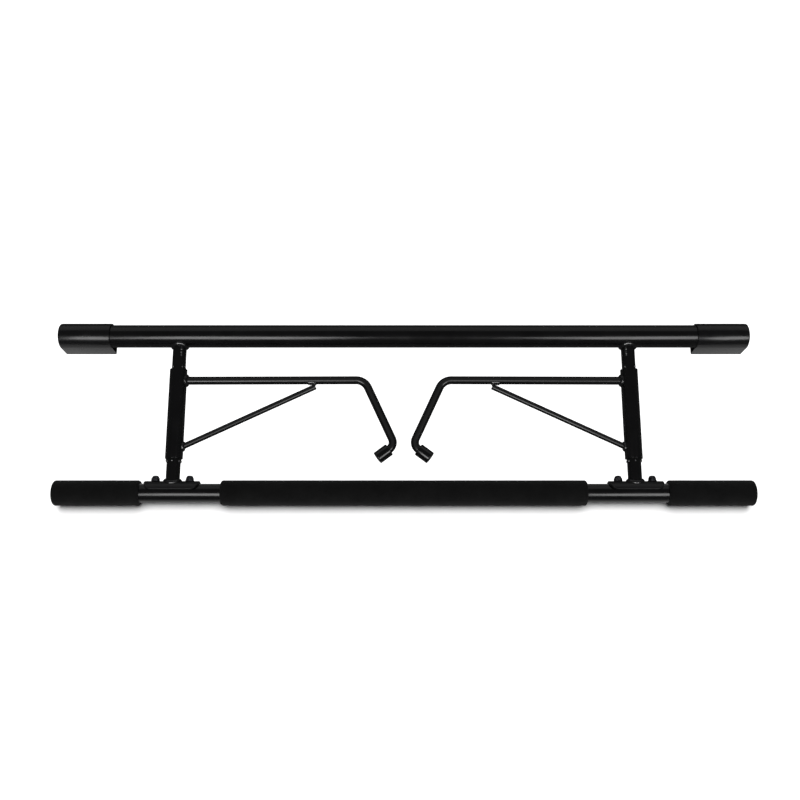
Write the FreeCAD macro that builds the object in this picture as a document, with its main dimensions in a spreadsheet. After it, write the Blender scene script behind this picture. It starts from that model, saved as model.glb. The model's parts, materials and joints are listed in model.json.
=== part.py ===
import FreeCAD, Part
import math
import os

import Sketcher
from FreeCAD import Placement, Rotation, Vector

# A folding doorway pull-up bar, lying flat on its pads and foam grips with both hooks folded in.
# Row frame: X along the bars, +Y towards the bearing bar, +Z up, z = 0 the surface it lies on.
# Millimetres and degrees.

# alias, size, what it is
SIZES = [
    ("bearing_bar_diameter", 32.0, "tube that presses on the front of the wall"),
    ("bearing_bar_length", 958.0, "cut length of that tube"),
    ("bearing_bar_wall", 1.5, "its wall"),
    ("grip_tube_diameter", 25.4, "tube that the hands hold"),
    ("grip_tube_length", 944.0, "cut length of that tube"),
    ("grip_tube_wall", 1.5, "its wall"),
    ("bar_spacing", 222.0, "grip tube axis to bearing bar axis"),
    ("foam_diameter", 34.6, "outside of every foam grip"),
    ("foam_edge_radius", 3.0, "rounding at each end of a foam grip"),
    ("centre_foam_length", 496.0, "middle foam grip"),
    ("outer_foam_length", 117.0, "each end foam grip"),
    ("plug_head_thickness", 3.0, "head of the plug in each end of the grip tube"),
    ("plug_shank_length", 16.0, "part of the plug inside the tube"),
    ("plug_shank_bore", 16.0, "hollow of the plug's shank"),
    ("post_offset", 315.0, "middle of the bar to each post"),
    ("post_diameter", 19.0, "post tube"),
    ("post_wall", 1.5, "its wall"),
    ("saddle_length", 74.0, "curved plate that joins a post to the grip tube"),
    ("saddle_thickness", 3.5, "its thickness"),
    ("saddle_half_wrap", 76.0, "angle it covers to each side of the post"),
    ("saddle_corner_radius", 10.0, "rounding of its corners"),
    ("stud_offset", 23.3, "post axis to each stud axis"),
    ("stud_hole_diameter", 6.6, "clearance holes for the studs"),
    ("stud_diameter", 6.0, "threaded shank"),
    ("stud_length", 12.0, "shank above the head"),
    ("stud_head_diameter", 11.0, "round head, inside the grip tube"),
    ("stud_head_height", 2.5, "its height"),
    ("hexagon_width", 10.0, "across the flats of a nut"),
    ("washer_diameter", 12.0, "washer under each nut"),
    ("washer_thickness", 1.0, "its thickness"),
    ("nut_hexagon_height", 3.2, "hexagon part of the domed nut"),
    ("nut_height", 6.5, "whole domed nut"),
    ("nut_thread_depth", 4.8, "blind hole of the nut"),
    ("nut_dome_diameter", 9.6, "dome of the nut"),
    ("nut_dome_radius", 3.2, "rounding of the dome"),
    ("pad_length", 72.0, "end pad along the bar"),
    ("pad_front_radius", 18.0, "round front of the pad, about the bar axis"),
    ("pad_depth", 26.0, "bar axis to the flat that presses on the wall"),
    ("pad_side_taper", 2.0, "how far the sides lean apart towards the flat"),
    ("pad_corner_radius", 3.0, "edges beside the flat"),
    ("pad_end_radius", 2.5, "edges round the closed end"),
    ("pad_end_wall", 3.0, "closed end"),
    ("pad_sole", 3.0, "wall at the flat"),
    ("pad_clearance", 0.3, "pad bore to bar, radial"),
    ("pad_web_thickness", 2.5, "inner web that holds the bar against the front"),
    ("pad_web_first", 10.0, "closed end to the first web"),
    ("pad_web_pitch", 32.0, "first web to the second"),
    ("pad_web_root", 0.2, "how far a web grows into the pad's walls"),
    ("pad_end_gap", 1.0, "end of the bar to the pad's closed end"),
    ("sleeve_diameter", 24.0, "swivel sleeve of a hook"),
    ("sleeve_bore", 19.8, "its bore, loose on the post"),
    ("sleeve_length", 126.5, "its length"),
    ("sleeve_above_arm", 16.0, "top of the sleeve to the axis of the arm"),
    ("arm_below_bar", 64.6, "bearing bar axis to the axis of the arm"),
    ("arm_rise", 0.7, "how far the arm leans up from square to its sleeve"),
    ("rod_diameter", 11.5, "round bar of a hook"),
    ("rod_start", 4.0, "post axis to the hidden end of the rod"),
    ("arm_reach", 260.0, "post axis to the corner of the first bend"),
    ("first_bend", 65.8, "angle turned at the first bend"),
    ("first_bend_radius", 18.0, "centre line radius there"),
    ("drop_length", 102.0, "corner to corner between the bends"),
    ("second_bend", 77.9, "angle turned at the second bend"),
    ("second_bend_radius", 12.5, "centre line radius there"),
    ("tip_length", 28.5, "corner of the second bend to the end of the rod"),
    ("brace_diameter", 8.0, "diagonal brace"),
    ("brace_foot", 98.3, "axis of the arm to where the brace meets the post axis"),
    ("brace_angle", 25.0, "brace to arm"),
    ("brace_length", 211.0, "post axis to the square end of the brace"),
    ("cap_diameter", 17.8, "rubber cap on the hook's tip"),
    ("cap_length", 20.5, "its length"),
    ("cap_end_thickness", 2.0, "its closed end"),
    ("cap_edge_radius", 1.2, "rounding of its rims"),
    ("stop_bead_diameter", 4.4, "weld beads that keep a sleeve in place"),
    ("stop_bead_depth", 0.3, "bead centre outside the post's surface"),
    ("stop_gap", 0.5, "sleeve end to bead"),
    ("stop_beads_above", 4.0, "beads above the sleeve"),
    ("stop_beads_below", 6.0, "beads below the sleeve"),
    ("hook_rest_swing", 2.095, "how far a folded hook drops until its cap rests"),
]

doc = FreeCAD.newDocument("pull_up_bar")
sheet = doc.addObject("Spreadsheet::Sheet", "sizes")
for row, (alias, number, meaning) in enumerate(SIZES, start=1):
    sheet.set(f"A{row}", str(number))
    sheet.setAlias(f"A{row}", alias)
    sheet.set(f"B{row}", meaning)
doc.recompute()


def size(expression):
    """What an expression on the sheet comes to, as a plain number."""
    result = sheet.evalExpression(expression)
    return float(getattr(result, "Value", result))


def new_body(label):
    made = doc.addObject("PartDesign::Body", label)
    made.Label = label
    made.AllowCompound = True
    return made


def new_sketch(body, role, name, offset=None):
    """A sketch on one of the body's own origin planes, moved by offset in the plane's own axes."""
    made = body.newObject("Sketcher::SketchObject", name)
    origin_plane = next(f for f in body.Origin.OriginFeatures if f.Role == role)
    made.AttachmentSupport = [(origin_plane, "")]
    made.MapMode = "FlatFace"
    if offset is not None:
        made.AttachmentOffset = offset
    return made


def constrain(sketch, expression, *constraint):
    """Adds a constraint whose value is an expression on the sheet."""
    value = size(expression)
    if constraint[0] == "Angle":
        value = math.radians(value)
    index = sketch.addConstraint(Sketcher.Constraint(*constraint, value))
    sketch.setExpression(f"Constraints[{index}]", expression)


def locate(sketch, geometry, point, x, y):
    """Ties a point to the sketch's origin. x and y are expressions, and "" means on the axis."""
    for kind, expression, axis in (("DistanceX", x, -2), ("DistanceY", y, -1)):
        if not expression:
            sketch.addConstraint(Sketcher.Constraint("PointOnObject", geometry, point, axis))
        elif expression.startswith("-"):
            constrain(sketch, expression[1:], kind, geometry, point, -1, 1)
        else:
            constrain(sketch, expression, kind, -1, 1, geometry, point)


def add_circle(sketch, radius, x="", y=""):
    middle = Vector(size(x or "0"), size(y or "0"), 0)
    index = sketch.addGeometry(Part.Circle(middle, Vector(0, 0, 1), size(radius)))
    locate(sketch, index, 3, x, y)
    constrain(sketch, radius, "Radius", index)
    return index


def add_hexagon(sketch, x):
    """A hexagon of a nut's width, with two flats square to the sketch's X axis."""
    middle, flat = Vector(size(x), 0, 0), size("sizes.hexagon_width / 2")
    reach = flat / math.cos(math.radians(30))
    corners = [middle + Vector(reach * math.sin(math.radians(60 * k)),
                               reach * math.cos(math.radians(60 * k)), 0) for k in range(6)]
    guide = sketch.addGeometry(Part.Circle(middle, Vector(0, 0, 1), reach), True)
    locate(sketch, guide, 3, x, "")
    constrain(sketch, "sizes.hexagon_width / 2 / cos(30)", "Radius", guide)
    sides = [sketch.addGeometry(Part.LineSegment(corners[k], corners[(k + 1) % 6])) for k in range(6)]
    for k in range(6):
        sketch.addConstraint(Sketcher.Constraint("Coincident", sides[k], 2, sides[(k + 1) % 6], 1))
        sketch.addConstraint(Sketcher.Constraint("PointOnObject", sides[k], 1, guide))
        if k:
            sketch.addConstraint(Sketcher.Constraint("Equal", sides[0], sides[k]))
    sketch.addConstraint(Sketcher.Constraint("Vertical", sides[1]))


def pad(body, sketch, length, symmetric=False, reverse=False):
    made = body.newObject("PartDesign::Pad", sketch.Name + "_pad")
    made.Profile = sketch
    made.setExpression("Length", length)
    made.SideType = "Symmetric" if symmetric else "One side"
    made.Reversed = reverse
    doc.recompute()
    return made


def cut(body, sketch, length=None, reverse=False):
    """A pocket of a given length, or right through both ways. It has to remove something."""
    before = body.Shape.Volume
    made = body.newObject("PartDesign::Pocket", sketch.Name + "_pocket")
    made.Profile = sketch
    if length is None:
        made.SideType = "Symmetric"
        made.Type = "ThroughAll"
    else:
        made.Reversed = reverse
        made.setExpression("Length", length)
    doc.recompute()
    if not body.Shape.Volume < before:
        raise RuntimeError(f"{made.Name} in {body.Label} cuts nothing")
    return made


def fillet(body, radius, wanted):
    """Rounds the edges of the body's last feature for which wanted(edge) is true."""
    base = body.Tip
    names = [f"Edge{k}" for k, edge in enumerate(base.Shape.Edges, start=1) if wanted(edge)]
    made = body.newObject("PartDesign::Fillet", base.Name + "_round")
    made.Base = (base, names)
    made.setExpression("Radius", radius)
    doc.recompute()
    return made


def lies_at(edge, axis, place):
    """Whether an edge lies in the plane where the axis ("x", "y" or "z") has this value."""
    return all(abs(getattr(vertex.Point, axis) - place) < 1e-4 for vertex in edge.Vertexes)


def is_circle(edge, radius):
    return isinstance(edge.Curve, Part.Circle) and abs(edge.Curve.Radius - radius) < 1e-4


def tube(label, role, diameter, bore, length, low=None):
    """A tube along the normal of an origin plane, about its middle or, with low, from there on."""
    body = new_body(label)
    offset = None if low is None else Placement(Vector(0, 0, size(low)), Rotation())
    outline = new_sketch(body, role, label + "_section", offset)
    if low is not None:
        outline.setExpression("AttachmentOffset.Base.z", low)
    add_circle(outline, f"{diameter} / 2")
    add_circle(outline, f"{bore} / 2")
    pad(body, outline, length, symmetric=low is None)
    return body


# Where things are. The assembly is drawn in the plane of its two bars, with the grip tube's axis
# through the origin and +Y up the posts, and that plane then leans to lie on pads and foam.

def lean_angle():
    return math.degrees(math.asin(size("(sizes.pad_depth - sizes.foam_diameter / 2) / sizes.bar_spacing")))


def pad_half_width():
    """Half the width of the pad's flat, before its edges are rounded."""
    taper = math.radians(size("sizes.pad_side_taper"))
    front, depth = size("sizes.pad_front_radius"), size("sizes.pad_depth")
    return front * math.cos(taper) + (depth + front * math.sin(taper)) * math.tan(taper)


def frame_place():
    """Plane of the bars to row frame, with the row's origin under the middle of its box."""
    run = size("sizes.bar_spacing") * math.cos(math.radians(lean_angle()))
    grip_y = (size("sizes.foam_diameter / 2") - pad_half_width() - run) / 2
    rise = size("sizes.foam_diameter / 2")
    return Placement(Vector(0, grip_y, rise), Rotation(Vector(1, 0, 0), lean_angle()))


def in_frame(x=0, y=0, turn=0):
    """A place in the plane of the bars, turned about the posts' direction."""
    return frame_place().multiply(Placement(Vector(x, y, 0), Rotation(Vector(0, 1, 0), turn)))


def swivel_place(side):
    """On the post's axis level with the arm, with +X the way the arm points."""
    drop = size("sizes.hook_rest_swing")
    turn = drop if side < 0 else 180 - drop
    level = size("sizes.bar_spacing - sizes.arm_below_bar")
    return in_frame(side * size("sizes.post_offset"), level, turn)


def hook_place(side):
    """Each hook is drawn with its arm along +X from its post, and the arm leans up a little."""
    rise = Rotation(Vector(0, 0, 1), size("sizes.arm_rise"))
    return swivel_place(side).multiply(Placement(Vector(), rise))


def bearing_place(side=-1):
    """On the bearing bar's axis, level with the surface, the right one turned half round."""
    axis = frame_place().multVec(Vector(0, size("sizes.bar_spacing"), 0))
    return Placement(axis, Rotation(Vector(0, 0, 1), 0 if side < 0 else 180))


def bearing_bar_tube():
    bore = "(sizes.bearing_bar_diameter - 2 * sizes.bearing_bar_wall)"
    body = tube("bearing_bar_tube", "YZ_Plane", "sizes.bearing_bar_diameter", bore,
                "sizes.bearing_bar_length")
    body.Placement = bearing_place()
    return body


def grip_tube():
    bore = "(sizes.grip_tube_diameter - 2 * sizes.grip_tube_wall)"
    body = tube("grip_tube", "YZ_Plane", "sizes.grip_tube_diameter", bore, "sizes.grip_tube_length")
    holes = new_sketch(body, "XZ_Plane", "grip_tube_stud_holes")
    for post in ("", "-"):
        for sign in ("+", "-"):
            place = f"{post}(sizes.post_offset {sign} sizes.stud_offset)"
            add_circle(holes, "sizes.stud_hole_diameter / 2", place)
    cut(body, holes, "sizes.grip_tube_diameter")
    body.Placement = in_frame()
    return body


def post_tube(name, side):
    """A post whose two ends are cut round to fit the bearing bar and the saddle plate."""
    bore = "(sizes.post_diameter - 2 * sizes.post_wall)"
    body = tube(name + "_post_tube", "XZ_Plane", "sizes.post_diameter", bore, "sizes.bar_spacing",
                low="-sizes.bar_spacing")
    ends = new_sketch(body, "YZ_Plane", name + "_post_ends")
    add_circle(ends, "sizes.grip_tube_diameter / 2 + sizes.saddle_thickness")
    add_circle(ends, "sizes.bearing_bar_diameter / 2", "sizes.bar_spacing")
    cut(body, ends)
    body.Placement = in_frame(side * size("sizes.post_offset"))
    return body


def saddle_plate(name, side):
    body = new_body(name + "_saddle_plate")
    outline = new_sketch(body, "YZ_Plane", name + "_saddle_section")
    wrap = math.radians(size("sizes.saddle_half_wrap"))
    inner = size("sizes.grip_tube_diameter / 2")
    outer = inner + size("sizes.saddle_thickness")
    ends = [(Vector(r * math.cos(a), r * math.sin(a), 0)) for a in (-wrap, wrap) for r in (inner, outer)]
    axis = Vector(0, 0, 1)
    inside = outline.addGeometry(Part.ArcOfCircle(Part.Circle(Vector(), axis, inner), -wrap, wrap))
    outside = outline.addGeometry(Part.ArcOfCircle(Part.Circle(Vector(), axis, outer), -wrap, wrap))
    low = outline.addGeometry(Part.LineSegment(ends[0], ends[1]))
    high = outline.addGeometry(Part.LineSegment(ends[2], ends[3]))
    for arc, radius in ((inside, "sizes.grip_tube_diameter / 2"),
                        (outside, "sizes.grip_tube_diameter / 2 + sizes.saddle_thickness")):
        outline.addConstraint(Sketcher.Constraint("Coincident", arc, 3, -1, 1))
        constrain(outline, radius, "Radius", arc)
    for line, arc_end in ((low, 1), (high, 2)):
        outline.addConstraint(Sketcher.Constraint("Coincident", line, 1, inside, arc_end))
        outline.addConstraint(Sketcher.Constraint("Coincident", line, 2, outside, arc_end))
    constrain(outline, "-sizes.saddle_half_wrap", "Angle", low)
    constrain(outline, "sizes.saddle_half_wrap", "Angle", high)
    pad(body, outline, "sizes.saddle_length", symmetric=True)
    half = size("sizes.saddle_length / 2")
    fillet(body, "sizes.saddle_corner_radius", lambda edge: isinstance(edge.Curve, Part.Line)
           and (lies_at(edge, "x", half) or lies_at(edge, "x", -half)))
    holes = new_sketch(body, "XZ_Plane", name + "_saddle_holes")
    for sign in ("", "-"):
        add_circle(holes, "sizes.stud_hole_diameter / 2", sign + "sizes.stud_offset")
    cut(body, holes)
    body.Placement = in_frame(side * size("sizes.post_offset"))
    return body


def level_sketch(body, name, level):
    """A sketch square to the post, at a level above the grip tube's axis given by an expression."""
    made = new_sketch(body, "XZ_Plane", name, Placement(Vector(0, 0, -size(level)), Rotation()))
    made.setExpression("AttachmentOffset.Base.z", f"-({level})")
    return made


def saddle_studs(name, side):
    """Two threaded studs. Their heads press on the inside of the grip tube's wall."""
    body = new_body(name + "_saddle_studs")
    inside = "(sizes.grip_tube_diameter / 2 - sizes.grip_tube_wall)"
    level = f"sqrt({inside}^2 - (sizes.stud_head_diameter / 2)^2)"
    heads = level_sketch(body, name + "_stud_heads", level)
    shanks = level_sketch(body, name + "_stud_shanks", level)
    for sign in ("", "-"):
        add_circle(heads, "sizes.stud_head_diameter / 2", sign + "sizes.stud_offset")
        add_circle(shanks, "sizes.stud_diameter / 2", sign + "sizes.stud_offset")
    pad(body, heads, "sizes.stud_head_height")
    pad(body, shanks, "sizes.stud_length", reverse=True)
    body.Placement = in_frame(side * size("sizes.post_offset"))
    return body


def saddle_washers(name, side):
    body = new_body(name + "_saddle_washers")
    plate_top = "sizes.grip_tube_diameter / 2 + sizes.saddle_thickness"
    rings = level_sketch(body, name + "_washer_rings", plate_top)
    for sign in ("", "-"):
        add_circle(rings, "sizes.washer_diameter / 2", sign + "sizes.stud_offset")
        add_circle(rings, "sizes.stud_hole_diameter / 2", sign + "sizes.stud_offset")
    pad(body, rings, "sizes.washer_thickness", reverse=True)
    body.Placement = in_frame(side * size("sizes.post_offset"))
    return body


def saddle_cap_nuts(name, side):
    """Two domed nuts on the post's side of the saddle plate."""
    body = new_body(name + "_saddle_cap_nuts")
    level = "sizes.grip_tube_diameter / 2 + sizes.saddle_thickness + sizes.washer_thickness"
    hexagons = level_sketch(body, name + "_nut_hexagons", level)
    domes = level_sketch(body, name + "_nut_domes", level)
    threads = level_sketch(body, name + "_nut_threads", level)
    for sign in ("", "-"):
        add_hexagon(hexagons, sign + "sizes.stud_offset")
        add_circle(domes, "sizes.nut_dome_diameter / 2", sign + "sizes.stud_offset")
        add_circle(threads, "sizes.stud_diameter / 2", sign + "sizes.stud_offset")
    pad(body, hexagons, "sizes.nut_hexagon_height", reverse=True)
    pad(body, domes, "sizes.nut_height", reverse=True)
    top = size(level + " + sizes.nut_height")
    fillet(body, "sizes.nut_dome_radius", lambda edge: lies_at(edge, "y", top))
    cut(body, threads, "sizes.nut_thread_depth")
    body.Placement = in_frame(side * size("sizes.post_offset"))
    return body


def foam_grip(label, length, x):
    body = tube(label, "YZ_Plane", "sizes.foam_diameter", "sizes.grip_tube_diameter", length)
    fillet(body, "sizes.foam_edge_radius", lambda edge: is_circle(edge, size("sizes.foam_diameter / 2")))
    body.Placement = in_frame(x)
    return body


def outer_foam_grip(name, side):
    """Its outer end is level with the head of the plug in the grip tube."""
    outer_end = size("sizes.grip_tube_length / 2 + sizes.plug_head_thickness")
    middle = side * (outer_end - size("sizes.outer_foam_length / 2"))
    return foam_grip(name + "_foam_grip", "sizes.outer_foam_length", middle)


def grip_end_plug(name, side):
    """A flush plug: its head covers the tube's end and its hollow shank fills the bore."""
    body = new_body(name + "_grip_end_plug")
    head = new_sketch(body, "YZ_Plane", name + "_plug_head")
    add_circle(head, "sizes.grip_tube_diameter / 2")
    pad(body, head, "sizes.plug_head_thickness")
    fillet(body, "sizes.plug_head_thickness / 3",
           lambda edge: lies_at(edge, "x", size("sizes.plug_head_thickness")))
    shank = new_sketch(body, "YZ_Plane", name + "_plug_shank")
    add_circle(shank, "sizes.grip_tube_diameter / 2 - sizes.grip_tube_wall")
    add_circle(shank, "sizes.plug_shank_bore / 2")
    pad(body, shank, "sizes.plug_shank_length", reverse=True)
    end = size("sizes.grip_tube_length / 2")
    body.Placement = in_frame(side * end, 0, 0 if side > 0 else 180)
    return body


def pad_outline(sketch, radius, depth):
    """Round at the front, with sides that lean apart and meet a flat; expressions for its sizes."""
    taper = math.radians(size("sizes.pad_side_taper"))
    front, back = size(radius), size(depth)
    half = front * math.cos(taper) + (back + front * math.sin(taper)) * math.tan(taper)
    shoulder = Vector(front * math.cos(taper), front * math.sin(taper), 0)
    corner = Vector(half, -back, 0)
    flip = [Vector(-v.x, v.y, 0) for v in (shoulder, corner)]
    arc = sketch.addGeometry(
        Part.ArcOfCircle(Part.Circle(Vector(), Vector(0, 0, 1), front), taper, math.pi - taper))
    right = sketch.addGeometry(Part.LineSegment(corner, shoulder))
    left = sketch.addGeometry(Part.LineSegment(flip[0], flip[1]))
    flat = sketch.addGeometry(Part.LineSegment(flip[1], corner))
    sketch.addConstraint(Sketcher.Constraint("Coincident", arc, 3, -1, 1))
    sketch.addConstraint(Sketcher.Constraint("Tangent", right, 2, arc, 1))
    sketch.addConstraint(Sketcher.Constraint("Tangent", arc, 2, left, 1))
    sketch.addConstraint(Sketcher.Constraint("Coincident", left, 2, flat, 1))
    sketch.addConstraint(Sketcher.Constraint("Coincident", flat, 2, right, 1))
    sketch.addConstraint(Sketcher.Constraint("Symmetric", flat, 1, flat, 2, -2))
    constrain(sketch, radius, "Radius", arc)
    constrain(sketch, depth, "DistanceY", flat, 1, -1, 1)
    constrain(sketch, "90 + sizes.pad_side_taper", "Angle", right)


def end_pad(name, side):
    """A hollow boot, closed at its outer end, drawn from x = 0 at that end along +X."""
    body = new_body(name + "_end_pad")
    outside = new_sketch(body, "YZ_Plane", name + "_pad_outside")
    pad_outline(outside, "sizes.pad_front_radius", "sizes.pad_depth")
    pad(body, outside, "sizes.pad_length")
    flat, length = -size("sizes.pad_depth"), size("sizes.pad_length")
    fillet(body, "sizes.pad_corner_radius", lambda edge: lies_at(edge, "z", flat)
           and abs(edge.Length - length) < 1e-4)
    fillet(body, "sizes.pad_end_radius", lambda edge: lies_at(edge, "x", 0))
    hollow = new_sketch(body, "YZ_Plane", name + "_pad_hollow", Placement(Vector(0, 0, length), Rotation()))
    hollow.setExpression("AttachmentOffset.Base.z", "sizes.pad_length")
    bore = "sizes.bearing_bar_diameter / 2 + sizes.pad_clearance"
    pad_outline(hollow, bore, "sizes.pad_depth - sizes.pad_sole")
    cut(body, hollow, "sizes.pad_length - sizes.pad_end_wall")
    for number in (0, 1):
        place = f"sizes.pad_web_first + {number} * sizes.pad_web_pitch"
        web = new_sketch(body, "YZ_Plane", f"{name}_pad_web_{number}",
                         Placement(Vector(0, 0, size(place)), Rotation()))
        web.setExpression("AttachmentOffset.Base.z", place)
        web_depth = "sizes.pad_depth - sizes.pad_sole + sizes.pad_web_root"
        pad_outline(web, bore + " + sizes.pad_web_root", web_depth)
        add_circle(web, bore)
        pad(body, web, "sizes.pad_web_thickness")
    reach = size("sizes.bearing_bar_length / 2 + sizes.pad_end_wall + sizes.pad_end_gap")
    body.Placement = bearing_place(side).multiply(Placement(Vector(-reach, 0, 0), Rotation()))
    return body


def hook_sleeve(name, side):
    """Its swivel axis is the post's, and its top stands above the arm."""
    top = "-sizes.sleeve_above_arm"
    body = tube(name + "_hook_sleeve", "XZ_Plane", "sizes.sleeve_diameter", "sizes.sleeve_bore",
                "sizes.sleeve_length", low=top)
    body.Placement = swivel_place(side)
    return body


def cut_for_sleeve(body, name):
    """Cuts the foot of a rod round to fit the sleeve, whose axis leans back from the drawn arm."""
    turned = Placement(Vector(), Rotation(Vector(0, -1, 0), size("sizes.arm_rise")))
    foot = new_sketch(body, "XZ_Plane", name, turned)
    foot.setExpression("AttachmentOffset.Rotation.Angle", "sizes.arm_rise")
    add_circle(foot, "sizes.sleeve_diameter / 2")
    cut(body, foot)


def hook_path(sketch):
    """The rod's centre line: arm, bend, drop, bend back, tip, with each bend an arc."""
    bends = [("sizes.first_bend", "sizes.first_bend_radius"),
             ("sizes.second_bend", "sizes.second_bend_radius")]
    cuts = [f"{radius} * tan({angle} / 2)" for angle, radius in bends]
    runs = [f"sizes.arm_reach - sizes.rod_start - {cuts[0]}",
            f"sizes.drop_length - {cuts[0]} - {cuts[1]}",
            f"sizes.tip_length - {cuts[1]}"]
    headings = ["0", "-sizes.first_bend", "-sizes.first_bend - sizes.second_bend"]
    point, lines, arcs = Vector(size("sizes.rod_start"), 0, 0), [], []
    for number, run in enumerate(runs):
        heading = math.radians(size(headings[number]))
        along = Vector(math.cos(heading), math.sin(heading), 0)
        end = point + along * size(run)
        lines.append(sketch.addGeometry(Part.LineSegment(point, end)))
        if number < len(bends):
            angle, radius = (size(expression) for expression in bends[number])
            middle = end + Vector(along.y, -along.x, 0) * radius
            start = heading + math.pi / 2
            ring = Part.Circle(middle, Vector(0, 0, 1), radius)
            bend = Part.ArcOfCircle(ring, start - math.radians(angle), start)
            arcs.append(sketch.addGeometry(bend))
            point = bend.StartPoint
    locate(sketch, lines[0], 1, "sizes.rod_start", "")
    for number, run in enumerate(runs):
        constrain(sketch, run, "Distance", lines[number])
        if number:
            constrain(sketch, headings[number], "Angle", lines[number])
    sketch.addConstraint(Sketcher.Constraint("Horizontal", lines[0]))
    for number, arc in enumerate(arcs):
        sketch.addConstraint(Sketcher.Constraint("Tangent", lines[number], 2, arc, 2))
        sketch.addConstraint(Sketcher.Constraint("Tangent", arc, 1, lines[number + 1], 1))
        constrain(sketch, bends[number][1], "Radius", arc)


def hook_rod(name, side):
    body = new_body(name + "_hook_rod")
    path = new_sketch(body, "XY_Plane", name + "_rod_path")
    hook_path(path)
    section = new_sketch(body, "YZ_Plane", name + "_rod_section",
                         Placement(Vector(0, 0, size("sizes.rod_start")), Rotation()))
    section.setExpression("AttachmentOffset.Base.z", "sizes.rod_start")
    add_circle(section, "sizes.rod_diameter / 2")
    doc.recompute()
    sweep = body.newObject("PartDesign::AdditivePipe", name + "_rod_sweep")
    sweep.Profile = section
    sweep.Spine = path
    doc.recompute()
    cut_for_sleeve(body, name + "_rod_foot")
    body.Placement = hook_place(side)
    return body


def hook_brace(name, side):
    """A straight rod, cut round where it meets the sleeve and the underside of the arm."""
    body = new_body(name + "_hook_brace")
    # The section's plane has the row's Y, Z and X as its own X, Y and Z.
    lean = Rotation(Vector(0, 1, 0), size("sizes.brace_angle"))
    section = new_sketch(body, "YZ_Plane", name + "_brace_section",
                         Placement(Vector(-size("sizes.brace_foot"), 0, 0), lean))
    section.setExpression("AttachmentOffset.Base.x", "-sizes.brace_foot")
    section.setExpression("AttachmentOffset.Rotation.Angle", "sizes.brace_angle")
    add_circle(section, "sizes.brace_diameter / 2")
    pad(body, section, "sizes.brace_length")
    cut_for_sleeve(body, name + "_brace_foot")
    head = new_sketch(body, "YZ_Plane", name + "_brace_head")
    add_circle(head, "sizes.rod_diameter / 2")
    cut(body, head)
    body.Placement = hook_place(side)
    return body


def hook_tip_place():
    """From the hook's own frame to the end of its rod, with +X along the tip."""
    first = math.radians(size("sizes.first_bend"))
    both = first + math.radians(size("sizes.second_bend"))
    drop, tip = size("sizes.drop_length"), size("sizes.tip_length")
    end = Vector(size("sizes.arm_reach") + drop * math.cos(first) + tip * math.cos(both),
                 -drop * math.sin(first) - tip * math.sin(both), 0)
    return Placement(end, Rotation(Vector(0, 0, 1), -math.degrees(both)))


def hook_tip_cap(name, side):
    """A rubber cup pushed over the end of the rod, drawn from x = 0 at the rod's end."""
    body = new_body(name + "_hook_tip_cap")
    outside = new_sketch(body, "YZ_Plane", name + "_cap_outside",
                         Placement(Vector(0, 0, size("sizes.cap_end_thickness")), Rotation()))
    outside.setExpression("AttachmentOffset.Base.z", "sizes.cap_end_thickness")
    add_circle(outside, "sizes.cap_diameter / 2")
    pad(body, outside, "sizes.cap_length", reverse=True)
    fillet(body, "sizes.cap_edge_radius", lambda edge: is_circle(edge, size("sizes.cap_diameter / 2")))
    bore = new_sketch(body, "YZ_Plane", name + "_cap_bore")
    add_circle(bore, "sizes.rod_diameter / 2")
    cut(body, bore, "sizes.cap_length")
    body.Placement = hook_place(side).multiply(hook_tip_place())
    return body


def sleeve_stops(name, side):
    """Weld beads on the post just above and below the sleeve, each cut to lie on the tube."""
    beads = []
    reach = "sizes.post_diameter / 2 + sizes.stop_bead_depth"
    top = "sizes.bar_spacing - sizes.arm_below_bar + sizes.sleeve_above_arm"
    clear = "sizes.stop_bead_diameter / 2 + sizes.stop_gap"
    rings = [("above", f"{top} + {clear}", size("sizes.stop_beads_above")),
             ("below", f"{top} - sizes.sleeve_length - ({clear})", size("sizes.stop_beads_below"))]
    for ring, level, count in rings:
        for number in range(int(count)):
            turn = (number + 0.5) * 360 / count
            bead = doc.addObject("Part::Sphere", f"{name}_stop_{ring}_{number}")
            bead.setExpression("Radius", "sizes.stop_bead_diameter / 2")
            bead.setExpression("Placement.Base.x", f"({reach}) * cos({turn})")
            bead.setExpression("Placement.Base.y", level)
            bead.setExpression("Placement.Base.z", f"({reach}) * sin({turn})")
            beads.append(bead)
    joined = doc.addObject("Part::MultiFuse", name + "_stop_beads")
    joined.Shapes = beads
    post = doc.addObject("Part::Cylinder", name + "_stop_post")
    post.setExpression("Radius", "sizes.post_diameter / 2")
    post.setExpression("Height", "sizes.bar_spacing")
    post.Placement = Placement(Vector(), Rotation(Vector(1, 0, 0), -90))
    made = doc.addObject("Part::Cut", name + "_sleeve_stops")
    made.Label = name + "_sleeve_stops"
    made.Base, made.Tool = joined, post
    made.Placement = in_frame(side * size("sizes.post_offset"))
    return made


def build():
    parts = [bearing_bar_tube(), grip_tube(), foam_grip("centre_foam_grip", "sizes.centre_foam_length", 0)]
    makers = [post_tube, saddle_plate, saddle_studs, saddle_washers, saddle_cap_nuts, outer_foam_grip,
              grip_end_plug, end_pad, sleeve_stops, hook_sleeve, hook_rod, hook_brace, hook_tip_cap]
    for name, side in (("left", -1), ("right", 1)):
        parts += [make(name, side) for make in makers]
    return parts


def check(parts):
    doc.recompute()
    failed = [o.Name for o in doc.Objects if "Invalid" in o.State or "Error" in o.State]
    failed += [p.Label for p in parts if p.Shape.isNull() or not p.Shape.isValid() or not p.Shape.Solids]
    if failed:
        raise RuntimeError(f"not built: {failed}")


def write(parts):
    os.makedirs("parts", exist_ok=True)
    for part in parts:
        part.Shape.exportStep(os.path.join("parts", part.Label + ".step"))


all_parts = build()
check(all_parts)
write(all_parts)
print(f"wrote {len(all_parts)} parts")
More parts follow.
